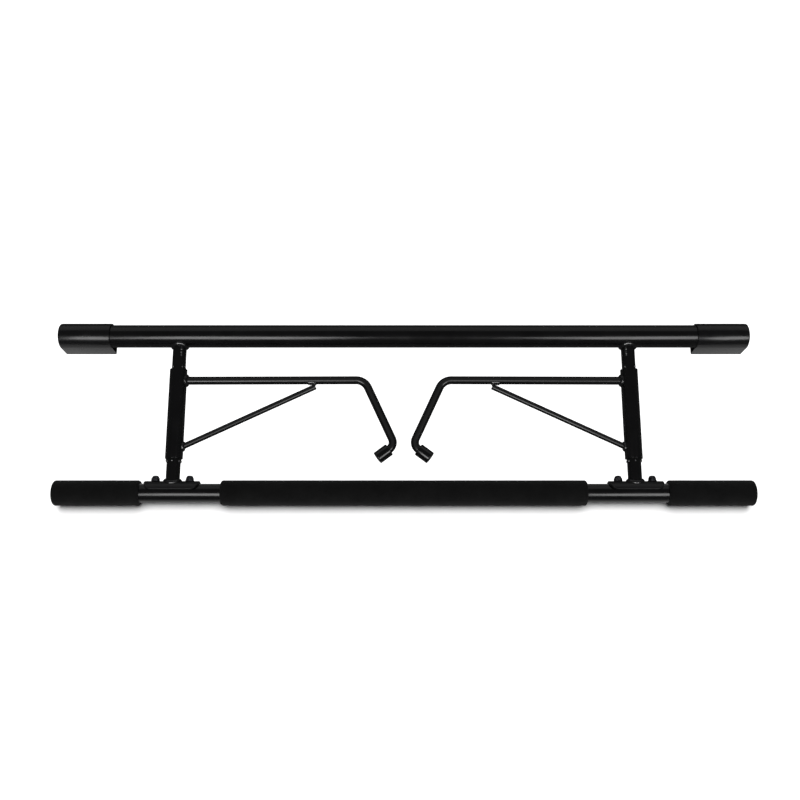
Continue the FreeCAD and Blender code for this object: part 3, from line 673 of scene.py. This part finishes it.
class PULLUP_OT_foam_grips(BarOperator, bpy.types.Operator):
    """Builds the three foam grips"""
    bl_idname = "pullup.foam_grips"
    bl_label = "Foam Grips"

    def execute(self, context):
        sizes, bore = settings().grips, settings().frame_sizes.grip_diameter / 2
        for number, node in enumerate(("centre_foam_grip", "left_foam_grip", "right_foam_grip")):
            bm = bmesh.new()
            half, radius = extent(node).x / 2, sizes.foam_diameter / 2
            lathe(bm, [(-half, bore, 0), (-half, radius, sizes.foam_edge), (half, radius, sizes.foam_edge),
                       (half, bore, 0)])
            for ring in range(1, int(half * 2 / FOAM_RING)):
                slice_at(bm, X * (ring * FOAM_RING - half), X, NEAR)
            # Foam is ground to size and squeezed on, so its skin is never quite round or straight.
            for vert in bm.verts:
                out = Vector((0, vert.co.y, vert.co.z))
                if out.length > bore + 1.5 * MM:
                    swell = (wander(vert.co, 0.022, number + 3.0)
                             + 0.5 * wander(vert.co, 0.009, number + 7.0))
                    vert.co += out.normalized() * (swell * 0.7 - 0.5) * sizes.foam_swell
            place = IN_PLANE @ Matrix.Translation((middle(node).x, 0, 0))
            made = piece(node.replace("_grip", "") + "_sleeve", bm, "frame",
                         finish(grip_foam), place, [node], sharp=60)
        return {"FINISHED"}


class PULLUP_OT_posts(BarOperator, bpy.types.Operator):
    """Builds the two posts, cut round at both ends to meet the bearing bar and the saddle plates"""
    bl_idname = "pullup.posts"
    bl_label = "Posts"

    def execute(self, context):
        sizes = settings().frame_sizes
        for name, side in SIDES:
            bm = bmesh.new()
            radius = sizes.post_diameter / 2
            lathe(bm, tube_profile(0, BAR_SPACING, radius, radius - sizes.tube_wall), axis=Y, steps=64)
            high = [v for v in bm.verts if v.co.y > BAR_SPACING / 2]
            low = [v for v in bm.verts if v.co.y < BAR_SPACING / 2]
            cope(low, Y, Vector(), X, sizes.grip_diameter / 2 + sizes.saddle_thickness, POST_SINK)
            for vert in high:
                below = level_on(Vector((0, 0, vert.co.z)), Y, Vector(), X, sizes.bearing_diameter / 2)
                vert.co.y = BAR_SPACING - below + POST_SINK
            piece(name + "_post", bm, "frame", finish(gloss_paint),
                  IN_PLANE @ Matrix.Translation((side * POST_X, 0, 0)), [name + "_post_tube"])
        return {"FINISHED"}


class PULLUP_OT_saddles(BarOperator, bpy.types.Operator):
    """Builds the curved saddle plates under the posts"""
    bl_idname = "pullup.saddles"
    bl_label = "Saddle Plates"

    def execute(self, context):
        sizes = settings().frame_sizes
        inner = sizes.grip_diameter / 2
        for name, side in SIDES:
            bm = bmesh.new()
            half, wrap = sizes.saddle_length / 2, sizes.saddle_half_wrap * inner
            # Drawn flat, then pressed round: X along the tube, Y round it, Z its thickness.
            flat = outline(bm, [(-half, -wrap, 0), (half, -wrap, 0), (half, wrap, 0), (-half, wrap, 0)], True)
            round_corner(bm, flat, sizes.saddle_corner, segments=8)
            bmesh.ops.contextual_create(bm, geom=bm.edges[:])
            plate = bmesh.ops.extrude_face_region(bm, geom=bm.faces[:])
            bmesh.ops.translate(bm, verts=only(bmesh.types.BMVert, plate["geom"]),
                                vec=Z * sizes.saddle_thickness)
            bmesh.ops.recalc_face_normals(bm, faces=bm.faces)
            rims = [e for e in bm.edges if e.is_manifold and e.calc_face_angle() > 1.2]
            round_edges(bm, rims, 0.6 * MM)
            for cut in range(-SADDLE_CUTS, SADDLE_CUTS + 1):
                slice_at(bm, Y * (wrap * cut / (SADDLE_CUTS + 0.5)), Y, MERGE)
            for vert in bm.verts:
                turn = vert.co.y / inner
                reach = inner + vert.co.z
                vert.co = Vector((vert.co.x, reach * math.cos(turn), reach * math.sin(turn)))
            bmesh.ops.recalc_face_normals(bm, faces=bm.faces)
            piece(name + "_saddle", bm, "frame", finish(satin_paint),
                  IN_PLANE @ Matrix.Translation((side * POST_X, 0, 0)), [name + "_saddle_plate"])
        return {"FINISHED"}


class PULLUP_OT_fasteners(BarOperator, bpy.types.Operator):
    """Builds the washers and domed nuts, and gives the studs inside them their finish"""
    bl_idname = "pullup.fasteners"
    bl_label = "Fasteners"

    def nut(self, hardware, turn):
        """A domed nut that stands on z = 0: a hexagon with its top edge turned off, and a spun dome."""
        bm = bmesh.new()
        flat, high = hardware.nut_width / 2, hardware.nut_hexagon
        bmesh.ops.create_circle(bm, cap_ends=True, cap_tris=False, segments=6,
                                radius=flat / math.cos(math.pi / 6))
        bmesh.ops.subdivide_edges(bm, edges=bm.edges[:], cuts=6)
        raised = bmesh.ops.extrude_face_region(bm, geom=bm.faces[:])
        bmesh.ops.translate(bm, verts=only(bmesh.types.BMVert, raised["geom"]), vec=Z * high)
        bmesh.ops.inset_region(bm, faces=only(bmesh.types.BMFace, raised["geom"]),
                               thickness=flat - hardware.dome_diameter / 2, use_even_offset=True)
        for vert in bm.verts:
            out = math.hypot(vert.co.x, vert.co.y)
            if vert.co.z > high / 2:
                vert.co.z -= max(0.0, out - flat * 0.96) * 0.55
            elif out > flat:
                vert.co.z += (out - flat) * 0.4
        bmesh.ops.recalc_face_normals(bm, faces=bm.faces)
        body = as_mesh(bm)
        bm = bmesh.new()
        dome = hardware.dome_diameter / 2
        lathe(bm, [(high - 0.3 * MM, 0, 0), (high - 0.3 * MM, dome, 0),
                   (hardware.nut_height, dome, hardware.dome_radius), (hardware.nut_height, 0, 0)],
              axis=Z, steps=40, closed=False)
        bm = merged_from([body, as_mesh(bm)])
        bmesh.ops.rotate(bm, verts=bm.verts, cent=(0, 0, 0), matrix=Matrix.Rotation(turn, 3, "Z"))
        return bm

    def execute(self, context):
        sizes, hardware = settings().frame_sizes, settings().hardware
        level = sizes.grip_diameter / 2 + sizes.saddle_thickness
        upright = Matrix.Rotation(-math.pi / 2, 4, "X")
        for name, side in SIDES:
            rings, nuts = [], []
            for sign in (-1, 1):
                spot = Matrix.Translation((side * POST_X + sign * hardware.stud_offset, level, 0)) @ upright
                bm = bmesh.new()
                lathe(bm, tube_profile(0, hardware.washer_thickness, hardware.washer_diameter / 2,
                                       hardware.washer_bore / 2, 0.25 * MM), axis=Z, steps=48)
                bmesh.ops.transform(bm, matrix=spot, verts=bm.verts)
                rings.append(as_mesh(bm))
                bm = self.nut(hardware, math.radians(30 + 7 * sign * side))
                on_washer = spot @ Matrix.Translation((0, 0, hardware.washer_thickness))
                bmesh.ops.transform(bm, matrix=on_washer, verts=bm.verts)
                nuts.append(as_mesh(bm))
            piece(name + "_washers", merged_from(rings), "frame",
                  finish(black_zinc), IN_PLANE, [name + "_saddle_washers"])
            piece(name + "_domed_nuts", merged_from(nuts), "frame",
                  finish(black_zinc), IN_PLANE, [name + "_saddle_cap_nuts"], sharp=28)
            studs = frame["nodes"][name + "_saddle_studs"]
            studs.data.materials.clear()
            studs.data.materials.append(finish(black_zinc))
        return {"FINISHED"}


class PULLUP_OT_end_pads(BarOperator, bpy.types.Operator):
    """Builds the two hollow end pads: round in front, flat behind, with webs inside"""
    bl_idname = "pullup.end_pads"
    bl_label = "End Pads"

    def ring(self, bm, sizes, front, depth, corner, x):
        """A closed outline at x: a half round spun from one point, two sides and the flat."""
        taper = sizes.pad_taper
        shoulder = bm.verts.new((x, front * math.cos(taper), front * math.sin(taper)))
        spin(bm, [shoulder], (x, 0, 0), X, math.pi - 2 * taper, 36)
        points = [v for v in bm.verts if abs(v.co.x - x) < NEAR and len(v.link_edges) < 2]
        first = max(points, key=lambda v: v.co.y)
        last = min(points, key=lambda v: v.co.y)
        half = front * math.cos(taper) + (depth + front * math.sin(taper)) * math.tan(taper)
        corners = [bm.verts.new((x, half, -depth)), bm.verts.new((x, -half, -depth))]
        for a, b in ((first, corners[0]), (corners[0], corners[1]), (corners[1], last)):
            bm.edges.new((a, b))
        round_corner(bm, corners, corner, math.pi / 2 + taper, 6)

    def solid(self, sizes, front, depth, corner, start, length):
        """A block with the pad's outline, from start along X."""
        bm = bmesh.new()
        self.ring(bm, sizes, front, depth, corner, start)
        bmesh.ops.contextual_create(bm, geom=bm.edges[:])
        grown = bmesh.ops.extrude_face_region(bm, geom=bm.faces[:])
        bmesh.ops.translate(bm, verts=only(bmesh.types.BMVert, grown["geom"]), vec=X * length)
        bmesh.ops.recalc_face_normals(bm, faces=bm.faces)
        return bm

    def execute(self, context):
        sizes = settings().grips
        for name, side in SIDES:
            length, wall = sizes.pad_length, sizes.pad_wall
            outside = self.solid(sizes, sizes.pad_front, sizes.pad_depth, sizes.pad_corner, 0, length)
            closed_end = [e for e in outside.edges if all(v.co.x < NEAR for v in e.verts)]
            round_edges(outside, closed_end, sizes.pad_end_round, segments=6)
            inside = self.solid(sizes, sizes.pad_bore, sizes.pad_depth - wall, sizes.pad_corner * 0.5, wall,
                                length - wall)
            bmesh.ops.reverse_faces(inside, faces=inside.faces)
            bm = merged_from([as_mesh(outside), as_mesh(inside)])
            mouths = [f for f in bm.faces if all(abs(v.co.x - length) < NEAR for v in f.verts)]
            bmesh.ops.delete(bm, geom=mouths, context="FACES_ONLY")
            bmesh.ops.bridge_loops(bm, edges=[e for e in bm.edges if e.is_boundary])
            rim = [e for e in bm.edges if e.is_manifold and e.calc_face_angle() > 0.8
                   and all(abs(v.co.x - length) < NEAR for v in e.verts)]
            round_edges(bm, rim, sizes.pad_rim)
            shell = as_mesh(bm)
            webs = [self.web(sizes, sizes.web_first + number * sizes.web_pitch) for number in (0, 1)]
            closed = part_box(name + "_end_pad")[0 if side < 0 else 1]
            place = Matrix.Translation((closed.x, BEARING_AXIS.y, BEARING_AXIS.z))
            place = place @ Matrix.Rotation(0 if side < 0 else math.pi, 4, "Z")
            piece(name + "_pad", merged_from([shell] + webs), name + "_pad",
                  finish(pad_rubber), place, [name + "_end_pad"])
        return {"FINISHED"}

    def web(self, sizes, place):
        """A thin wall inside the pad with a round hole for the bar."""
        root, ends = sizes.web_root, (place, place + sizes.web_thickness)
        bm = self.solid(sizes, sizes.pad_bore + root, sizes.pad_depth - sizes.pad_wall + root,
                        sizes.pad_corner * 0.5, place, sizes.web_thickness)
        flats = [f for f in bm.faces if abs(f.normal.x) > 0.9]
        bmesh.ops.delete(bm, geom=flats, context="FACES_ONLY")
        upright = Matrix.Rotation(math.pi / 2, 4, "Y")
        for end in ends:
            bmesh.ops.create_circle(bm, cap_ends=False, segments=48, radius=sizes.pad_bore,
                                    matrix=Matrix.Translation((end, 0, 0)) @ upright)
        for end in ends:
            loops = [e for e in bm.edges if len(e.link_faces) < 2
                     and all(abs(v.co.x - end) < NEAR for v in e.verts)]
            bmesh.ops.bridge_loops(bm, edges=loops)
        bmesh.ops.bridge_loops(bm, edges=[e for e in bm.edges if e.is_boundary])
        bmesh.ops.recalc_face_normals(bm, faces=bm.faces)
        return as_mesh(bm)


def swivel_place(side):
    """On the post's axis level with the arm, with +X the way the arm points."""
    sizes = settings().hooks
    turn = sizes.rest_swing if side < 0 else math.pi - sizes.rest_swing
    return (IN_PLANE @ Matrix.Translation((side * POST_X, BAR_SPACING - sizes.arm_below_bar, 0))
            @ Matrix.Rotation(turn, 4, "Y"))


def hook_place(side):
    """Each hook is drawn with its arm along +X from its post, and the arm leans up a little."""
    return swivel_place(side) @ Matrix.Rotation(settings().hooks.arm_rise, 4, "Z")


def sleeve_axis():
    """The sleeve's axis as seen from the drawn arm, which leans."""
    return Matrix.Rotation(-settings().hooks.arm_rise, 3, "Z") @ Y


class PULLUP_OT_sleeves(BarOperator, bpy.types.Operator):
    """Builds the swivel sleeves of the hooks"""
    bl_idname = "pullup.sleeves"
    bl_label = "Hook Sleeves"

    def execute(self, context):
        sizes = settings().hooks
        for name, side in SIDES:
            bm = bmesh.new()
            top = sizes.sleeve_above_arm
            lathe(bm, tube_profile(top - sizes.sleeve_length, top, sizes.sleeve_diameter / 2,
                                   sizes.sleeve_bore / 2, 0.5 * MM), axis=Y, steps=72)
            piece(name + "_swivel_sleeve", bm, name + "_hook", finish(gloss_paint),
                  swivel_place(side), [name + "_hook_sleeve"])
        return {"FINISHED"}


class PULLUP_OT_hook_rods(BarOperator, bpy.types.Operator):
    """Builds the bent rods of the hooks: pushed out straight, then bent round twice"""
    bl_idname = "pullup.hook_rods"
    bl_label = "Hook Rods"

    def execute(self, context):
        sizes = settings().hooks
        bends = [(sizes.first_bend, sizes.first_radius), (sizes.second_bend, sizes.second_radius)]
        cuts = [radius * math.tan(turn / 2) for turn, radius in bends]
        start = sizes.sleeve_diameter / 2 - 1.0 * MM
        runs = [sizes.arm_reach - start - cuts[0], sizes.drop_length - cuts[0] - cuts[1],
                sizes.tip_length - cuts[1]]
        for name, side in SIDES:
            bm = bmesh.new()
            ring = bmesh.ops.create_circle(bm, cap_ends=False, segments=40, radius=sizes.rod_diameter / 2,
                                           matrix=Matrix.Translation((start, 0, 0))
                                           @ Matrix.Rotation(math.pi / 2, 4, "Y"))["verts"]
            foot, edges = list(ring), bm.edges[:]
            point, heading = Vector((start, 0, 0)), 0.0
            for number, run in enumerate(runs):
                along = Vector((math.cos(heading), -math.sin(heading), 0))
                grown = bmesh.ops.extrude_edge_only(bm, edges=edges)["geom"]
                bmesh.ops.translate(bm, verts=only(bmesh.types.BMVert, grown), vec=along * run)
                edges = only(bmesh.types.BMEdge, grown)
                point += along * run
                if number < len(bends):
                    turn, radius = bends[number]
                    centre = point + Vector((along.y, -along.x, 0)) * radius
                    spun = spin(bm, edges, centre, -Z, turn, 14)
                    edges = only(bmesh.types.BMEdge, spun["geom_last"])
                    point = centre + Matrix.Rotation(-turn, 3, "Z") @ (point - centre)
                    heading += turn
            bmesh.ops.contextual_create(bm, geom=edges)
            cope(foot, X, Vector(), sleeve_axis(), sizes.sleeve_diameter / 2, ROD_SINK)
            bmesh.ops.contextual_create(bm, geom=[e for e in bm.edges if e.is_boundary])
            bmesh.ops.recalc_face_normals(bm, faces=bm.faces)
            piece(name + "_rod", bm, name + "_hook", finish(gloss_paint),
                  hook_place(side), [name + "_hook_rod"])
        return {"FINISHED"}


class PULLUP_OT_hook_braces(BarOperator, bpy.types.Operator):
    """Builds the thin diagonal rods, cut round at the sleeve and square under the arm"""
    bl_idname = "pullup.hook_braces"
    bl_label = "Hook Braces"

    def execute(self, context):
        sizes = settings().hooks
        along = Vector((math.cos(sizes.brace_angle), math.sin(sizes.brace_angle), 0))
        foot = Vector((0, -sizes.brace_foot, 0))
        for name, side in SIDES:
            bm = bmesh.new()
            lathe(bm, [(0, 0, 0), (0, sizes.brace_diameter / 2, 0),
                       (sizes.brace_length, sizes.brace_diameter / 2, 0.4 * MM),
                       (sizes.brace_length, 0, 0)], axis=X, steps=36, closed=False)
            bmesh.ops.transform(bm, verts=bm.verts, matrix=Matrix.Translation(foot)
                                @ Matrix.Rotation(sizes.brace_angle, 4, "Z"))
            cope([v for v in bm.verts if (v.co - foot).dot(along) < 1 * MM], along, Vector(), sleeve_axis(),
                 sizes.sleeve_diameter / 2, ROD_SINK)
            piece(name + "_brace", bm, name + "_hook", finish(gloss_paint),
                  hook_place(side), [name + "_hook_brace"])
        return {"FINISHED"}


class PULLUP_OT_tip_caps(BarOperator, bpy.types.Operator):
    """Builds the caps on the hook tips"""
    bl_idname = "pullup.tip_caps"
    bl_label = "Tip Caps"

    def execute(self, context):
        sizes = settings().hooks
        both = sizes.first_bend + sizes.second_bend
        end = Vector((sizes.arm_reach + sizes.drop_length * math.cos(sizes.first_bend)
                      + sizes.tip_length * math.cos(both),
                      -sizes.drop_length * math.sin(sizes.first_bend) - sizes.tip_length * math.sin(both), 0))
        for name, side in SIDES:
            bm = bmesh.new()
            outer, inner, rounding = sizes.cap_diameter / 2, sizes.rod_diameter / 2, sizes.cap_edge
            mouth = sizes.cap_end - sizes.cap_length
            lathe(bm, [(sizes.cap_end, 0, 0), (sizes.cap_end, outer, rounding), (mouth, outer, rounding),
                       (mouth, inner, 0.4 * MM), (0.05 * MM, inner, 0), (0.05 * MM, 0, 0)],
                  steps=56, closed=False)
            place = hook_place(side) @ Matrix.Translation(end) @ Matrix.Rotation(-both, 4, "Z")
            piece(name + "_tip_cap", bm, name + "_hook", finish(cap_rubber), place,
                  [name + "_hook_tip_cap"])
        return {"FINISHED"}


class PULLUP_OT_frame_welds(BarOperator, bpy.types.Operator):
    """Builds the welds of the posts: at both ends, a short bead down the post, and the sleeve's stops"""
    bl_idname = "pullup.frame_welds"
    bl_label = "Frame Welds"

    def execute(self, context):
        sizes, hooks = settings().frame_sizes, settings().hooks
        post, bearing = sizes.post_diameter / 2, sizes.bearing_diameter / 2
        saddle = sizes.grip_diameter / 2 + sizes.saddle_thickness
        for name, side in SIDES:
            place = IN_PLANE @ Matrix.Translation((side * POST_X, 0, 0))
            top = joint_drops(Vector((0, BAR_SPACING, 0)), -Y, post, Vector((0, BAR_SPACING, 0)), X, bearing,
                              POST_DROP, 40)
            foot = joint_drops(Vector(), Y, post, Vector(), X, saddle, POST_DROP, 40)
            # A tack that ran down the post from the top joint, on the side away from the floor.
            run = bead_run(Vector((-side * post * 0.5, BAR_SPACING - bearing - 3.0 * MM, post * 0.84)), -Y,
                           Vector((-side * 0.5, 0, 0.86)), TACK_DROP, 6, 2.1 * MM)
            beads = (("post_top_weld", top, POST_FINE), ("post_foot_weld", foot, POST_FINE),
                     ("post_tack", run, TACK_FINE))
            for label, drops, fineness in beads:
                piece(f"{name}_{label}", weld(drops, label, fineness), "frame",
                      finish(weld_paint), place, sharp=180)
            stops = []
            sleeve_top = BAR_SPACING - hooks.arm_below_bar + hooks.sleeve_above_arm
            rings = ((sleeve_top + STOP_GAP, 4), (sleeve_top - hooks.sleeve_length - STOP_GAP, 6))
            for ring, (level, count) in enumerate(rings):
                for number in range(count):
                    turn = (math.tau * (number + 0.5) / count
                            + 0.12 * wander(Vector((number, ring, side)), 0.7))
                    outward = Vector((math.cos(turn), 0, math.sin(turn)))
                    spot = outward * post + Y * level
                    swell = 1 + 0.15 * wander(spot, 0.003, side * 5.0)
                    stops.append((spot, Y.cross(outward), outward, STOP_DROP * swell))
            piece(name + "_stop_tacks", weld(stops, "stops", TACK_FINE), "frame",
                  finish(weld_paint), place, [name + "_sleeve_stops"], sharp=180)
        return {"FINISHED"}


class PULLUP_OT_hook_welds(BarOperator, bpy.types.Operator):
    """Builds the welds of the hooks: arm to sleeve, and both ends of the brace"""
    bl_idname = "pullup.hook_welds"
    bl_label = "Hook Welds"

    def execute(self, context):
        sizes = settings().hooks
        sleeve, rod, brace = sizes.sleeve_diameter / 2, sizes.rod_diameter / 2, sizes.brace_diameter / 2
        along = Vector((math.cos(sizes.brace_angle), math.sin(sizes.brace_angle), 0))
        foot = Vector((0, -sizes.brace_foot, 0))
        axis = sleeve_axis()
        arm_drops = joint_drops(Vector(), X, rod, Vector(), axis, sleeve, ARM_DROP, 28)
        foot_drops = joint_drops(foot, along, brace, Vector(), axis, sleeve, BRACE_DROP, 22)
        # The brace's end lies under the arm: a bead down each side and one across the square end.
        end = foot + along * sizes.brace_length
        head_drops = []
        for face in (-1, 1):
            start = Vector((end.x - 9 * MM, -rod * 0.72, face * rod * 0.62))
            head_drops += bead_run(start, X, Vector((0, -0.55, face * 0.83)), BRACE_DROP, 5, 2.2 * MM)
        for number in range(7):
            turn = math.radians(-75 + 25 * number)
            spot = Vector((end.x - 1.0 * MM, -rod - 0.4 * MM * math.cos(turn), brace * math.sin(turn)))
            head_drops.append((spot, Z, Vector((0.6, -0.8, 0)).normalized(), END_DROP))
        for name, side in SIDES:
            for label, drops in (("arm_weld", arm_drops), ("brace_foot_weld", foot_drops),
                                 ("brace_head_weld", head_drops)):
                piece(f"{name}_{label}", weld(drops, label, HOOK_FINE), name + "_hook",
                      finish(weld_paint), hook_place(side), sharp=180)
        return {"FINISHED"}


class PULLUP_OT_stage(BarOperator, bpy.types.Operator):
    """Sets up the floor, the lights and the camera"""
    bl_idname = "pullup.stage"
    bl_label = "Stage"

    def softbox(self, name, place, aim, width, height, radiance, group):
        """A rectangle of light that shines on the object and shows in its gloss, but not on the floor."""
        data = bpy.data.lights.new(name, "AREA")
        data.shape, data.size, data.size_y = "RECTANGLE", width, height
        data.energy = radiance * math.pi * width * height
        made = bpy.data.objects.new(name, data)
        bpy.context.scene.collection.objects.link(made)
        place = Vector(place)
        turn = (Vector(aim) - place).to_track_quat("-Z", "Y").to_matrix().to_4x4()
        made.matrix_world = Matrix.Translation(place) @ turn
        made.visible_camera = False
        made.light_linking.receiver_collection = group
        return made

    def execute(self, context):
        scene, stage = context.scene, settings().stage
        bm = bmesh.new()
        bmesh.ops.create_grid(bm, x_segments=1, y_segments=1, size=30)
        bmesh.ops.translate(bm, verts=bm.verts, vec=(0, 0, -0.0002))
        floor = bpy.data.objects.new("studio_floor", as_mesh(bm, "studio_floor"))
        scene.collection.objects.link(floor)
        material, tree = new_material("studio_paper")
        where = add_node(tree, "ShaderNodeTexCoord")
        # Matt paper roll with a faint mottle.
        mottle = add_node(tree, "ShaderNodeTexNoise", "mottle", links={"Vector": where.outputs["Object"]},
                          Scale=3.0, Detail=2.0)
        paper = settings().finishes.floor
        tone = add_node(tree, "ShaderNodeValToRGB", "tone", links={"Fac": mottle.outputs["Fac"]},
                        stops=[(0.3, shade(paper, 0.985)), (0.7, shade(paper, 1.0))])
        shader = add_node(tree, "ShaderNodeBsdfPrincipled", "paper", Roughness=0.9, Specular_IOR_Level=0.1,
                          links={"Base Color": tone.outputs["Color"]})
        add_node(tree, "ShaderNodeOutputMaterial", links={"Surface": shader.outputs["BSDF"]})
        floor.data.materials.append(material)
        # The paper lights the object but stays out of its gloss, as on a lit sweep seen from above.
        floor.visible_glossy = False

        lit = bpy.data.collections.new("lit_pieces")
        grips = bpy.data.collections.new("grip_bar_pieces")
        for made in scene.collection.all_objects:
            if made.type == "MESH" and made is not floor:
                lit.objects.link(made)
                if "foam" in made.name or "grip_bar" in made.name or "tube_plug" in made.name:
                    grips.objects.link(made)
        low_pieces = bpy.data.collections.new("low_pieces")
        welds = bpy.data.collections.new("weld_beads")
        rods = bpy.data.collections.new("hook_rods_and_braces")
        for made in lit.objects:
            if made.name.endswith(("_rod", "_brace")):
                rods.objects.link(made)
            if made.name.endswith(("weld", "tack", "tacks")):
                welds.objects.link(made)
            if made.name.endswith("_pad") or made.name == "grip_bar_tube":
                low_pieces.objects.link(made)
        paper_only = bpy.data.collections.new("paper_only")
        paper_only.objects.link(floor)

        # The paper has its own broad overhead light, so only the grip bar, low and near, shades it.
        overhead = bpy.data.lights.new("overhead", "SUN")
        overhead.angle, overhead.energy = OVERHEAD_SPREAD, OVERHEAD_STRENGTH
        sun = bpy.data.objects.new("overhead", overhead)
        scene.collection.objects.link(sun)
        sun.rotation_euler = (OVERHEAD_TILT, 0, 0)
        sun.light_linking.receiver_collection = paper_only
        sun.light_linking.blocker_collection = grips

        groups = {"lit": lit, "welds": welds, "rods": rods}
        for name, place, aim, width, height, radiance, group in SOFTBOXES:
            self.softbox(name, place, aim, width, height, radiance, groups[group])
        # What the pads' sides and the grip tube's lowest edge show of the bright paper right beside them.
        strips = ((-0.22, GRIP_AXIS.y), (GRIP_AXIS.y + 0.02, BEARING_AXIS.y))
        for number, (near, far) in enumerate(strips):
            middle_y = (near + far) / 2
            glow = self.softbox(f"paper_glow_{number}", (0, middle_y, 0.0001), (0, middle_y, 1),
                                GLOW_WIDTH, far - near, GLOW_RADIANCE, low_pieces)
            glow.light_linking.blocker_collection = low_pieces

        world = bpy.data.worlds.new("studio_air")
        scene.world = world
        world.use_nodes = True
        tree = world.node_tree
        tree.nodes.clear()
        path = add_node(tree, "ShaderNodeLightPath")
        seen = add_node(tree, "ShaderNodeBackground", "what the camera sees", Color=grey(1.0),
                        Strength=AIR_SEEN)
        felt = add_node(tree, "ShaderNodeBackground", "what the object reflects", Color=grey(1.0),
                        Strength=AIR_FELT)
        mix = add_node(tree, "ShaderNodeMixShader")
        tree.links.new(path.outputs["Is Camera Ray"], mix.inputs[0])
        tree.links.new(felt.outputs[0], mix.inputs[1])
        tree.links.new(seen.outputs[0], mix.inputs[2])
        add_node(tree, "ShaderNodeOutputWorld", links={"Surface": mix.outputs[0]})

        up = Vector((0, math.sin(stage.elevation), math.cos(stage.elevation)))
        back = Vector((0, -math.cos(stage.elevation), math.sin(stage.elevation)))
        lens = bpy.data.cameras.new("camera")
        lens.lens, lens.sensor_width, lens.clip_start, lens.clip_end = stage.lens, 36, 0.05, 100
        camera = bpy.data.objects.new("camera", lens)
        scene.collection.objects.link(camera)
        target = Vector((0, 0, (CAD_BOX[0].z + CAD_BOX[1].z) / 2))
        at = target + back * stage.distance + X * stage.aim_right + up * stage.aim_up
        camera.matrix_world = Matrix.Translation(at) @ Matrix((X, up, back)).transposed().to_4x4()
        scene.camera = camera
        scene.view_settings.view_transform = "Standard"
        scene.view_settings.look = "None"
        return {"FINISHED"}


OPERATORS = (PULLUP_OT_bearing_bar, PULLUP_OT_grip_bar, PULLUP_OT_foam_grips, PULLUP_OT_posts,
             PULLUP_OT_saddles, PULLUP_OT_fasteners, PULLUP_OT_end_pads, PULLUP_OT_sleeves,
             PULLUP_OT_hook_rods, PULLUP_OT_hook_braces, PULLUP_OT_tip_caps, PULLUP_OT_frame_welds,
             PULLUP_OT_hook_welds, PULLUP_OT_stage)


class PULLUP_PT_panel(bpy.types.Panel):
    """Lists the sizes and the operators that build the bar"""
    bl_idname = "PULLUP_PT_panel"
    bl_label = "Pull-up Bar"
    bl_space_type = "VIEW_3D"
    bl_region_type = "UI"
    bl_category = "Pull-up Bar"

    def draw(self, context):
        bar = context.scene.pull_up_bar
        for group, kind in GROUPS:
            box = self.layout.box()
            box.label(text=group.replace("_", " ").capitalize())
            for name in kind.__annotations__:
                box.prop(getattr(bar, group), name)
        for operator in OPERATORS:
            self.layout.operator(operator.bl_idname)


CLASSES = tuple(kind for _, kind in GROUPS) + (PullUpBar,) + OPERATORS + (PULLUP_PT_panel,)


def register():
    for kind in CLASSES:
        bpy.utils.register_class(kind)
    bpy.types.Scene.pull_up_bar = bpy.props.PointerProperty(type=PullUpBar)


def unregister():
    del bpy.types.Scene.pull_up_bar
    for kind in reversed(CLASSES):
        bpy.utils.unregister_class(kind)


def main():
    register()
    for operator in OPERATORS:
        group, name = operator.bl_idname.split(".")
        getattr(getattr(bpy.ops, group), name)()


if __name__ == "__main__":
    main()
